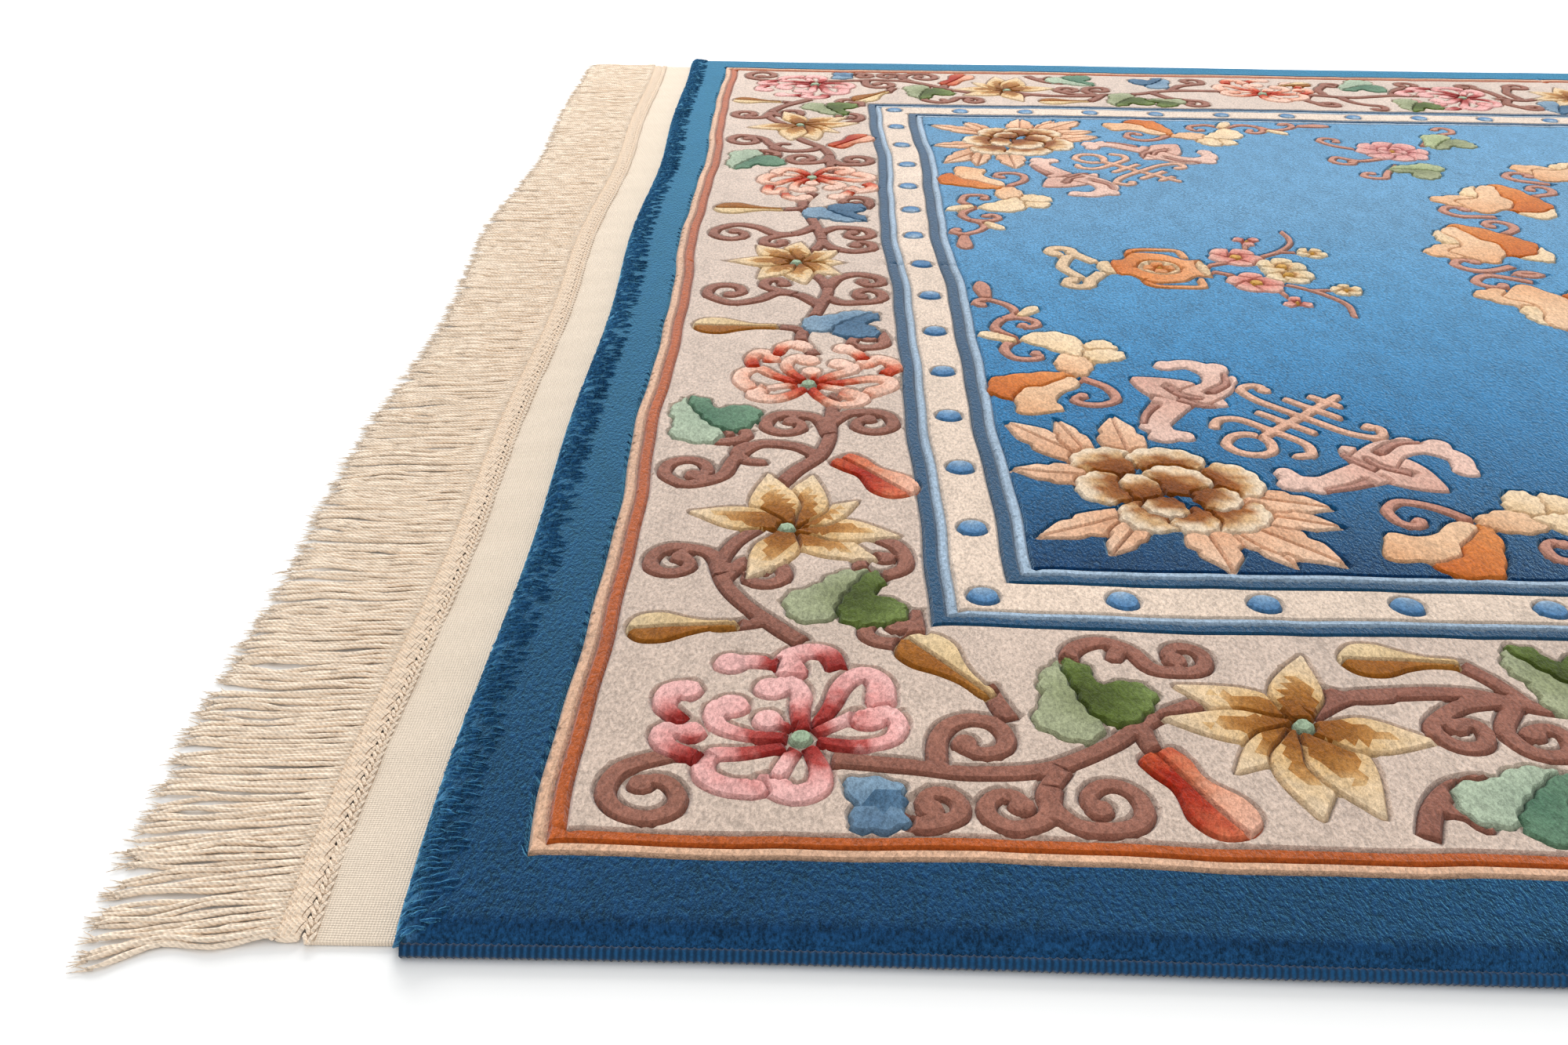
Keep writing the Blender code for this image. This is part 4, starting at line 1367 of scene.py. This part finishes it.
def woven_back_material():
    back = new_material("knotted_wool_back")
    where = add_node(back, "ShaderNodeTexCoord")
    dye = add_node(back, "ShaderNodeVertexColor", {"layer_name": "Dye"})
    knots = add_node(back, "ShaderNodeTexVoronoi", {"Scale": 1 / KNOT_ROWS, "Randomness": 0.25},
                     {"Vector": (where, "Object")})
    light = add_node(back, "ShaderNodeMapRange",
                     {"From Min": 0.1, "From Max": 0.7, "To Min": 1.1, "To Max": 0.6},
                     {"Value": (knots, "Distance")})
    tint = add_node(back, "ShaderNodeVectorMath", {"operation": "SCALE"},
                    {"Vector": (dye, "Color"), "Scale": (light, "Result")})
    bump = add_node(back, "ShaderNodeBump", {"Strength": 0.8, "Distance": 0.8 * MM, "invert": True},
                    {"Height": (knots, "Distance")})
    shader = surface(back, {"Roughness": 0.9, "Sheen Weight": 0.15, "Specular IOR Level": 0.2})
    back.node_tree.links.new(tint.outputs["Vector"], shader.inputs["Base Color"])
    back.node_tree.links.new(bump.outputs["Normal"], shader.inputs["Normal"])
    return back


def grid_sheet(xs, ys, bottom, top):
    """Points and faces of a closed sheet over a grid. bottom and top give a height for each x and y."""
    gx, gy = np.meshgrid(xs, ys, indexing="ij")
    wx, wy = wander(gx, gy)
    layers = [
        np.stack([wx, wy, np.broadcast_to(level(gx, gy), gx.shape)], axis=-1) for level in (top, bottom)
    ]
    nx, ny = len(xs), len(ys)
    upper = np.arange(nx * ny).reshape(nx, ny)
    lower = upper + nx * ny
    faces = []
    for i in range(nx - 1):
        for j in range(ny - 1):
            faces.append([upper[i, j], upper[i + 1, j], upper[i + 1, j + 1], upper[i, j + 1]])
            faces.append([lower[i, j + 1], lower[i + 1, j + 1], lower[i + 1, j], lower[i, j]])
    rim_loop = [*[(i, 0) for i in range(nx)], *[(nx - 1, j) for j in range(1, ny)]]
    rim_loop += [*[(i, ny - 1) for i in range(nx - 2, -1, -1)], *[(0, j) for j in range(ny - 2, 0, -1)]]
    for (i, j), (k, m) in zip(rim_loop, rim_loop[1:] + rim_loop[:1]):
        faces.append([upper[k, m], upper[i, j], lower[i, j], lower[k, m]])
    faces = [[int(v) for v in face] for face in faces]
    return np.concatenate([layer.reshape(-1, 3) for layer in layers]), faces


def both_ways(lines_out, spacing):
    """Grid lines on both sides of the middle, with the band lines among them."""
    filler = np.arange(0, lines_out[-1], spacing)
    filler = filler[np.min(np.abs(filler[:, None] - lines_out[None, :]), axis=1) > 0.3 * spacing]
    out = np.unique(np.concatenate([[0.0], filler, lines_out]))
    return np.concatenate([-out[:0:-1], out])


ground_x = both_ways(band_lines(half_length, MIDDLE.real), 0.06)
ground_y = both_ways(band_lines(half_width, MIDDLE.imag), 0.06)
points, faces = grid_sheet(ground_x, ground_y, lambda x, y: 0.0 * x, lambda x, y: 0.0 * x + 2.7 * MM)
knotted_back = woven_back_material()
foundation = make_piece("foundation", points, faces, knotted_back, sharp=40)
centres = np.array([points[face].mean(axis=0) for face in faces])
to_line = np.minimum(MIDDLE.real - np.abs(centres[:, 0]) / PITCH, MIDDLE.imag - np.abs(centres[:, 1]) / PITCH)
band = np.searchsorted([offset for offset, _ in STRIPES], to_line + 0.004) - 1
tones = np.array([shade(dye, 0.0) for _, dye in STRIPES])[np.clip(band, 0, None)]
foundation.data.color_attributes.new("Dye", "FLOAT_COLOR", "CORNER")
every = np.ones((4 * len(faces), 4))
every[:, :3] = np.repeat(tones, 4, axis=0)
foundation.data.color_attributes["Dye"].data.foreach_set("color", every.ravel())
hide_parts("pile")
print("foundation:", len(faces), "faces")

# %% [markdown]
# ## Cotton of the woven ends
#
# Past the pile the cotton warps and wefts go on as a plain flat weave. Undyed cotton is a warm ivory with a
# few dark specks of seed husk, matt, with a thread about every millimetre both ways.

# %% Woven cotton
THREAD = 1.4 * MM
# Blender's wave texture repeats each 2 pi / 20 of its unit at scale 1
WAVE_SCALE = 2 * math.pi / 20


def cotton_material(name, tone, weave, across="X", raised=0.5):
    cotton = new_material(name)
    where = add_node(cotton, "ShaderNodeTexCoord")
    warp = add_node(cotton, "ShaderNodeTexWave",
                    {"bands_direction": "Y", "Scale": WAVE_SCALE / weave, "Distortion": 1.2,
                                                  "Detail": 1.0}, {"Vector": (where, "Object")})
    weft = add_node(cotton, "ShaderNodeTexWave",
                    {"bands_direction": across, "Scale": WAVE_SCALE / weave, "Distortion": 1.2,
                                                  "Detail": 1.0}, {"Vector": (where, "Object")})
    fibres = add_node(cotton, "ShaderNodeTexNoise", {"Scale": 900.0, "Detail": 2.0},
                      {"Vector": (where, "Object")})
    specks = add_node(cotton, "ShaderNodeTexVoronoi", {"Scale": 60.0}, {"Vector": (where, "Object")})
    speck = add_node(cotton, "ShaderNodeMapRange", {"From Min": 0.02, "From Max": 0.05, "To Min": 0.72,
                                                    "To Max": 1.0}, {"Value": (specks, "Distance")})
    woven = add_node(cotton, "ShaderNodeMath", {"operation": "MULTIPLY_ADD", 1: 0.7},
                     {0: (warp, "Fac"), 2: (weft, "Fac")})
    height = add_node(cotton, "ShaderNodeMath", {"operation": "MULTIPLY_ADD", 1: 0.7},
                      {0: (fibres, "Fac"), 2: (woven, "Value")})
    light = add_node(cotton, "ShaderNodeMapRange",
                     {"From Min": 0.4, "From Max": 1.9, "To Min": 0.8, "To Max": 1.12},
                     {"Value": (height, "Value")})
    both = add_node(cotton, "ShaderNodeMath", {"operation": "MULTIPLY"},
                    {0: (light, "Result"), 1: (speck, "Result")})
    tint = add_node(cotton, "ShaderNodeVectorMath", {"operation": "SCALE", 0: linear(tone)},
                    {"Scale": (both, "Value")})
    bump = add_node(cotton, "ShaderNodeBump", {"Strength": 0.9, "Distance": raised * MM},
                    {"Height": (height, "Value")})
    shader = surface(cotton, {"Roughness": 0.88, "Sheen Weight": 0.12, "Specular IOR Level": 0.25})
    cotton.node_tree.links.new(tint.outputs["Vector"], shader.inputs["Base Color"])
    cotton.node_tree.links.new(bump.outputs["Normal"], shader.inputs["Normal"])
    return cotton


woven_cotton = cotton_material("plain_weave_cotton", "#f0ddc6", THREAD)
print(woven_cotton.name)

# %% [markdown]
# ## The woven ends
#
# Each end is a strip of cloth about four centimetres wide. It lies a little uneven on the floor, since
# nothing weighs it down.

# %% Webs
RIPPLE = 0.7 * MM
NEAR_GAP = 0.5 * MM


def web_end(side):
    name = "web_left" if side < 0 else "web_right"
    low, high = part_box(name)
    first, last = half_length + NEAR_GAP, half_length + 41 * MM
    xs = np.linspace(first, last, 12)
    xs = -xs[::-1] if side < 0 else xs
    ys = np.linspace(low[1] + 2 * MM, high[1] - 2 * MM, 280)

    def top(x, y):
        ripple = np.sin(71 * y + 30 * x) + 0.6 * np.sin(163 * y - 50 * x + 1) + 0.5 * np.sin(29 * y)
        return 2.5 * MM + 0.5 * RIPPLE * (1.2 + ripple)

    points, faces = grid_sheet(xs, ys, lambda x, y: top(x, y) - 2.2 * MM, top)
    piece = make_piece(f"woven_end_{name[4:]}", points, faces, woven_cotton, sharp=50)
    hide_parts(name)
    return piece


web_pieces = {side: web_end(side) for side in (-1, 1)}
print("woven ends:", [len(piece.data.polygons) for piece in web_pieces.values()], "faces")

# %% [markdown]
# ## Many threads in one mesh
#
# The heading, the twined rows and the fringe are hundreds of short threads. One function sweeps a small round
# or flat section along every path at once, with arrays, so that each group becomes one mesh.

# %% Thread maker


def threads(paths, radii, sides=5, flat=1.0, twist=None):
    """Closed tubes along paths of shape (count, steps, 3). radii and twist (in turns) have (count, steps)."""
    paths, radii = np.asarray(paths), np.asarray(radii)
    count, steps, _ = paths.shape
    along = np.gradient(paths, axis=1)
    along /= np.linalg.norm(along, axis=2, keepdims=True)
    up = np.array([0.0, 0.0, 1.0])
    across = np.cross(along, up)
    across /= np.maximum(np.linalg.norm(across, axis=2, keepdims=True), 1e-9)
    over = np.cross(across, along)
    angle = 2 * np.pi * np.arange(sides) / sides
    turn = np.zeros((count, steps)) if twist is None else 2 * np.pi * np.asarray(twist)
    wide, thin = np.cos(angle), np.sin(angle) * flat
    c, s = np.cos(turn)[..., None], np.sin(turn)[..., None]
    u, v = wide * c - thin * s, wide * s + thin * c
    outward = u[..., None] * across[:, :, None] + v[..., None] * over[:, :, None]
    ring = paths[:, :, None] + radii[..., None, None] * outward
    points = ring.reshape(-1, 3)
    number = np.arange(count * steps * sides).reshape(count, steps, sides)
    after = np.roll(number, -1, axis=2)
    quad_corners = [number[:, :-1], after[:, :-1], after[:, 1:], number[:, 1:]]
    quads = np.stack(quad_corners, axis=-1)[..., ::-1].reshape(-1, 4)
    caps = [row.tolist() for row in number[:, 0]] + [row[::-1].tolist() for row in number[:, -1]]
    return points, quads.tolist() + caps


def joined(groups):
    """Several (points, faces) groups as one."""
    points, faces, count = [], [], 0
    for group_points, group_faces in groups:
        points.append(group_points)
        faces += [[v + count for v in face] for face in group_faces]
        count += len(group_points)
    return np.concatenate(points), faces


chance = np.random.default_rng(7)

# %% [markdown]
# ## Heading and twined rows
#
# A plaited heading locks the last weft: the warps are taken in bundles, and each bundle is laid over
# the next one along the edge, so the row looks like a line of small ribbed shingles. Two rows of twining run
# between it and the cloth.

# %% Heading
BUNDLE = 9.4 * MM
ROLL_THREADS = 6
HEADING_FROM = half_length + 42 * MM
HEADING_WIDTH = 12.5 * MM
SLANT = 0.40
plied_cotton = cotton_material("plied_cotton_yarn", "#f8e3cb", 1.5 * MM, across="DIAGONAL", raised=0.4)


def heading_end(side):
    name = "left" if side < 0 else "right"
    reach = half_width - 3 * MM
    starts = np.arange(-reach, reach - BUNDLE, BUNDLE)
    steps = np.linspace(0, 1, 5)[None, :]
    offsets = (np.arange(ROLL_THREADS) + 0.5) / ROLL_THREADS * HEADING_WIDTH
    base = np.repeat(starts, ROLL_THREADS)
    across = np.tile(offsets, len(starts)) + chance.normal(0, 0.15 * MM, len(base))
    x = HEADING_FROM + across[:, None] - SLANT * BUNDLE * (steps - 0.5)
    bow = 1 - (across / HEADING_WIDTH - 0.5)[:, None] ** 2 * 2.2
    y = base[:, None] + (1.28 * steps - 0.1) * BUNDLE + 0.18 * BUNDLE * bow
    z = 1.1 * MM + 3.7 * MM * bow * np.sin(np.pi * (0.12 + 0.80 * steps)) ** 0.6
    x, y = wander(side * x, np.clip(y, -reach, reach))
    radius = np.full(x.shape, 1.22 * MM)
    rolls = threads(np.stack([x, y, z], axis=-1), radius, sides=4)
    core_y = np.linspace(-reach, reach, 80)
    core_x, core_y = wander(np.full(80, side * (HEADING_FROM + 0.5 * HEADING_WIDTH)), core_y)
    core = np.stack([core_x, core_y, np.full(80, 2.2 * MM)], axis=-1)[None]
    middle = threads(core, np.full((1, 80), 5.2 * MM), sides=8, flat=0.3)
    groups = [rolls, middle]
    for row, pitch, lean in ((-1.6 * MM, 5.0 * MM, 1.0), (-4.6 * MM, 6.2 * MM, -1.0)):
        centre = np.arange(-reach, reach, pitch)
        part = np.linspace(-0.5, 0.5, 4)
        y = centre[:, None] + part * 1.15 * pitch
        x = HEADING_FROM + row + lean * 0.9 * MM * np.sin(np.pi * part) + 0 * y
        z = 3.3 * MM + 0.8 * MM * np.cos(np.pi * part) + 0 * y
        x, y = wander(side * x, y)
        size = 0.95 * MM * np.cos(0.75 * np.pi * part) ** 0.5 + 0 * y
        groups.append(threads(np.stack([x, y, z], axis=-1), size, sides=4))
    points, faces = joined(groups)
    return make_piece(f"wrapped_heading_{name}", points, faces, plied_cotton, sharp=70)


headings = {side: heading_end(side) for side in (-1, 1)}
print("headings:", [len(piece.data.polygons) for piece in headings.values()], "faces")

# %% [markdown]
# ## Fringe
#
# The fringe is the warp itself: cords of two plies, which leave each wrapped roll side by side, wander a
# little, lie over one another here and there, and open into loose fibres at the tip. The section is a little
# flat and turns slowly, so that the light runs along a cord unevenly. The fine slant of the plies is bump.

# %% Fringe
CORDS = 720
CORDS_IN_BUNDLE = 4
CORD_RADIUS = 1.5 * MM
CORD_LENGTH = 89 * MM
PLY_TURNS = 1.7
CORD_STEPS = 15
LEFT_CORNER_FAN = 0.17


def fringe_end(side):
    name = "left" if side < 0 else "right"
    reach = half_width - 4 * MM
    roots = np.linspace(-reach, reach, CORDS) + chance.normal(0, 0.35 * MM, CORDS)
    along = np.linspace(0, 1, CORD_STEPS)[None, :]
    length = CORD_LENGTH * (1 + 0.035 * np.sin(11 * roots) + chance.normal(0, 0.018, CORDS))
    bundle = np.arange(CORDS) // CORDS_IN_BUNDLE
    lean = chance.normal(0, 1.8 * MM, CORDS)[bundle] + chance.normal(0, 3.2 * MM, CORDS)
    drift = 4.0 * MM * (np.sin(9.0 * roots + 1) + 0.5 * np.sin(23 * roots)) + lean
    if side < 0:
        length = length * (1 - 0.12 * np.clip((0.15 - reach - roots) / 0.15, 0, 1))
        drift = drift - LEFT_CORNER_FAN * CORD_LENGTH * np.clip((0.30 - reach - roots) / 0.30, 0, 1) ** 2
    phase = chance.uniform(0, 6.28, CORDS)[bundle] + chance.normal(0, 0.5, CORDS)
    wave = chance.normal(0, 2.3 * MM, CORDS)[bundle] + chance.normal(0, 1.1 * MM, CORDS)
    x = HEADING_FROM + HEADING_WIDTH - 2 * MM + length[:, None] * along
    y = roots[:, None] + drift[:, None] * along**1.3
    y = y + wave[:, None] * along**0.6 * np.sin(9 * along + phase[:, None])
    lift = (np.arange(CORDS) % 2 * 1.9 * MM + chance.uniform(0, 0.7 * MM, CORDS))[:, None]
    lift = lift * np.clip(8 * along, 0, 1) * (1 - 0.5 * along)
    settle = 2.4 * MM * (1 - along) ** 6
    z = CORD_RADIUS + 0.2 * MM + settle + lift * (0.7 + 0.3 * np.sin(7 * along + phase[:, None]))
    thick = CORD_RADIUS * (1 + 0.05 * np.sin(60 * along + phase[:, None]))
    thick = thick * np.where(along > 0.93, 1 - 0.55 * (along - 0.93) / 0.07, 1)
    turns = phase[:, None] + PLY_TURNS * along
    wx, wy = wander(side * x, y)
    cords = threads(np.stack([wx, wy, z], axis=-1), thick, sides=4, flat=0.8, twist=turns)
    wisps = []
    tip = np.stack([wx[:, -1], wy[:, -1], z[:, -1] * 0.7], axis=-1)
    for k in range(3):
        step = np.linspace(0, 1, 2)[None, :, None]
        away = np.stack([side * chance.uniform(4, 11, CORDS), chance.normal(0, 2.4, CORDS),
                         0 * roots - 0.25], axis=-1)
        path = tip[:, None] - np.array([side * 2.5 * MM, 0, 0]) + away[:, None] * MM * step
        path[..., 2] = np.maximum(path[..., 2], 0.6 * MM)
        size = 0.6 * MM * (1 - 0.75 * step[..., 0]) + np.zeros((CORDS, 2))
        wisps.append(threads(path, size, sides=3))
    points, faces = joined([cords, *wisps])
    piece = make_piece(f"fringe_cords_{name}", points, faces, plied_cotton)
    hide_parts(f"fringe_{name}")
    return piece


fringes = {side: fringe_end(side) for side in (-1, 1)}
print("fringes:", [sum(len(f.vertices) - 2 for f in piece.data.polygons) for piece in fringes.values()],
      "triangles")

# %% [markdown]
# ## Overcast sides
#
# Along each long side blue wool is wound over the last warps, turn beside turn, so the side looks like a
# ribbed cord of blue.

# %% Selvedges
WRAP = 3.2 * MM


def overcast_material():
    wool = new_material("overcast_wool")
    where = add_node(wool, "ShaderNodeTexCoord")
    fibres = add_node(wool, "ShaderNodeTexNoise", {"Scale": 700.0, "Detail": 3.0},
                      {"Vector": (where, "Object")})
    # Partly painted light: each wrap turn is a band of light on its crest and darker between turns, over the
    # wool's own fibre grain.
    turns = add_node(wool, "ShaderNodeTexWave", {"bands_direction": "X", "Scale": WAVE_SCALE / WRAP,
                                                 "Distortion": 2.0, "Detail Scale": 40.0},
                     {"Vector": (where, "Object")})
    both = add_node(wool, "ShaderNodeMath", {"operation": "MULTIPLY"},
                    {0: (fibres, "Fac"), 1: (turns, "Fac")})
    tint = add_node(wool, "ShaderNodeMapRange",
                    {"From Min": 0.08, "From Max": 0.5, "To Min": 0.6, "To Max": 1.6},
                    {"Value": (both, "Value")})
    blue = add_node(wool, "ShaderNodeVectorMath", {"operation": "SCALE", 0: linear("#133f62")},
                    {"Scale": (tint, "Result")})
    bump = add_node(wool, "ShaderNodeBump", {"Strength": 0.5, "Distance": 0.5 * MM},
                    {"Height": (fibres, "Fac")})
    shader = surface(wool, {"Roughness": 0.9, "Sheen Weight": 0.2, "Specular IOR Level": 0.15})
    wool.node_tree.links.new(blue.outputs["Vector"], shader.inputs["Base Color"])
    wool.node_tree.links.new(bump.outputs["Normal"], shader.inputs["Normal"])
    return wool


overcast_wool = overcast_material()


def overcast_side(name, side):
    low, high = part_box(name)
    steps = round((high[0] - low[0] - 4 * MM) / (WRAP / 3))
    x = np.linspace(low[0] + 2 * MM, high[0] - 2 * MM, steps)
    centre = half_width + 3.2 * MM
    wx, wy = wander(x, np.full(steps, side * centre))
    ribs = 1 + 0.16 * np.cos(2 * np.pi * np.arange(steps) / 3) + chance.normal(0, 0.02, steps)
    radius = 3.0 * MM * ribs
    path = np.stack([wx, wy, np.full(steps, 3.6 * MM)], axis=-1)
    points, faces = threads(path[None], radius[None], sides=5, flat=1.12)
    piece = make_piece(f"overcast_{name[9:]}", points, faces, overcast_wool)
    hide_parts(name)
    return piece


selvedges = [overcast_side("selvedge_near", -1), overcast_side("selvedge_far", 1)]
print("selvedges:", [len(piece.data.polygons) for piece in selvedges], "faces")

# %% [markdown]
# ## Tufts over the ends
#
# At the two ends the last knots lean out over the cotton and open, so that the edge of the pile is a soft
# furry slope. Small tapering locks lie on it: a few far in, where they hardly rise, and more and more towards
# the edge, where they hang over. Each is as dark as the pile at its root and painted lighter towards its tip,
# a painted highlight for the light that its tip catches; the locks far in get less of it.

# %% End tufts
LOCKS = 3300
LOCK_LENGTH = 7.5 * MM
LOCKS_REACH = 27 * MM
ARC = ROLL * np.pi / 2


def end_slope(reach, z_lift):
    """A place on the pile's rolled end, at this distance round the roll and this far off it."""
    angle = np.clip(reach / ROLL, 0, np.pi / 2)
    x = np.minimum(reach, 0) + np.sin(angle) * (ROLL + z_lift)
    height = PILE_HEIGHT - ROLL + np.cos(angle) * (ROLL + z_lift) - np.clip(reach - ARC, 0, None)
    return half_length - ROLL + x, height


def end_tufts(side):
    name = "left" if side < 0 else "right"
    y = np.linspace(-half_width + 2 * MM, half_width - 2 * MM, LOCKS) + chance.normal(0, 2.0 * MM, LOCKS)
    y = np.clip(y, 1.2 * MM - half_width, half_width - 1.2 * MM)
    inward = chance.uniform(0, 1, LOCKS) ** 1.7
    start = ARC - 1.5 * MM - LOCKS_REACH * inward
    step = np.linspace(0, 1, 3)[None, :]
    length = LOCK_LENGTH * chance.uniform(0.7, 1.2, LOCKS)
    rise = (1.0 - 0.8 * inward) * chance.uniform(0.7, 1.3, LOCKS)
    lift = -0.9 * MM + (0.5 + 2.2 * rise[:, None]) * MM * step**1.2
    x, z = end_slope(start[:, None] + length[:, None] * step, lift)
    comb = 1.6 * MM * np.sin(31 * y) + chance.normal(0, 1.5 * MM, LOCKS) - 1.0 * MM
    y = y[:, None] + comb[:, None] * step
    x, y = wander(side * x, y)
    size = 1.6 * MM * np.array([0.8, 1.0, 0.25])[None, :] * chance.uniform(0.7, 1.2, LOCKS)[:, None]
    points, faces = threads(np.stack([x, y, np.maximum(z, 2.4 * MM)], axis=-1), size, sides=3)
    piece = make_piece(f"end_tufts_{name}", points, faces, band_wool)
    mesh = piece.data
    corner = np.zeros(len(mesh.loops), int)
    mesh.loops.foreach_get("vertex_index", corner)
    # Painted highlight: each lock runs from the pile's blue at its root to a light tip; the locks far in get
    # less of it.
    along = corner // 3 % 3 / 2
    tones = np.ones((len(corner), 4))
    tones[:, :3] = shade("band blue painted light", (0.15 + 0.85 * along) * (1 - inward[corner // 9]))
    mesh.color_attributes.new("Dye", "FLOAT_COLOR", "CORNER")
    mesh.color_attributes["Dye"].data.foreach_set("color", tones.ravel())
    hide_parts("pile")
    return piece


tufts = [end_tufts(side) for side in (-1, 1)]
print("tufts:", [len(piece.data.polygons) for piece in tufts], "faces")

# %% [markdown]
# ## The cloth
#
# The rug lies flat. The ground with its pile is one sheet, and each woven end is another, with its heading
# and fringe on it.

# %% Sheets
print("the rug lies flat")

# %% [markdown]
# ## Floor, light and camera
#
# The floor is plain and nearly white. A large soft lamp above and behind the rug gives the pile its glow, and
# a pale sky fills the rest. The camera stands near the left corner and looks down along the rug.

# %% Floor and light
floor_paint = new_material("matt_white_floor")
surface(floor_paint, {"Base Color": (*linear("#f4f3f1"), 1), "Roughness": 0.7})
floor_mesh = bpy.data.meshes.new("floor")
floor_mesh.from_pydata([(-9, -6, 0), (9, -6, 0), (9, 30, 0), (-9, 30, 0)], [], [(0, 1, 2, 3)])
floor_mesh.materials.append(floor_paint)
floor = bpy.data.objects.new("floor", floor_mesh)
bpy.context.scene.collection.objects.link(floor)

world = bpy.data.worlds.new("studio")
world.use_nodes = True
world.node_tree.nodes["Background"].inputs["Color"].default_value = (0.97, 0.985, 1.0, 1)
world.node_tree.nodes["Background"].inputs["Strength"].default_value = 0.95
bpy.context.scene.world = world


def soft_lamp(name, place, aim, size, watts):
    lamp = bpy.data.lights.new(name, "AREA")
    lamp.shape = "RECTANGLE"
    lamp.size, lamp.size_y = size
    lamp.energy = watts
    holder = bpy.data.objects.new(name, lamp)
    holder.location = place
    holder.rotation_euler = (Vector(aim) - Vector(place)).to_track_quat("-Z", "Y").to_euler()
    bpy.context.scene.collection.objects.link(holder)
    return holder


soft_lamp("window_light", (-1.6, 3.6, 2.0), (0.0, 0.2, 0.0), (3.2, 2.2), 170)
bpy.context.scene.view_settings.view_transform = "Standard"
print("floor and light are set")

# %% [markdown]
# The camera's place and tilt come from the photograph: the pearls stand at known places on the rug, and one
# camera sees them all where the photograph has them.

# %% Camera
LENS = 33.97
TILT, SWING, ROLL_ANGLE = math.radians(29.36), math.radians(-0.84), math.radians(0.69)
CAMERA_AT = (-1.0077, -1.3064, 0.4717)
forward = Vector((math.sin(SWING) * math.cos(TILT), math.cos(SWING) * math.cos(TILT), -math.sin(TILT)))
level_right = Vector((math.cos(SWING), -math.sin(SWING), 0))
level_up = level_right.cross(forward)
right = math.cos(ROLL_ANGLE) * level_right + math.sin(ROLL_ANGLE) * level_up
upward = -math.sin(ROLL_ANGLE) * level_right + math.cos(ROLL_ANGLE) * level_up
turned_frame = Matrix((right, upward, -forward)).transposed().to_4x4()
lens = bpy.data.cameras.new("camera")
lens.lens = LENS
lens.sensor_width = 36
lens.clip_start = 0.01
camera = bpy.data.objects.new("camera", lens)
camera.matrix_world = Matrix.Translation(CAMERA_AT) @ turned_frame
bpy.context.scene.collection.objects.link(camera)
bpy.context.scene.camera = camera
print("camera at", CAMERA_AT)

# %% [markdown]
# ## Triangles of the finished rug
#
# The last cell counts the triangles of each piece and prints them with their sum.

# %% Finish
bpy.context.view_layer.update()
counts = {
    piece.name: sum(len(face.vertices) - 2 for face in piece.data.polygons)
    for piece in bpy.data.objects
    if piece.type == "MESH"
}
print("triangles:", counts, "and", sum(counts.values()), "in all")
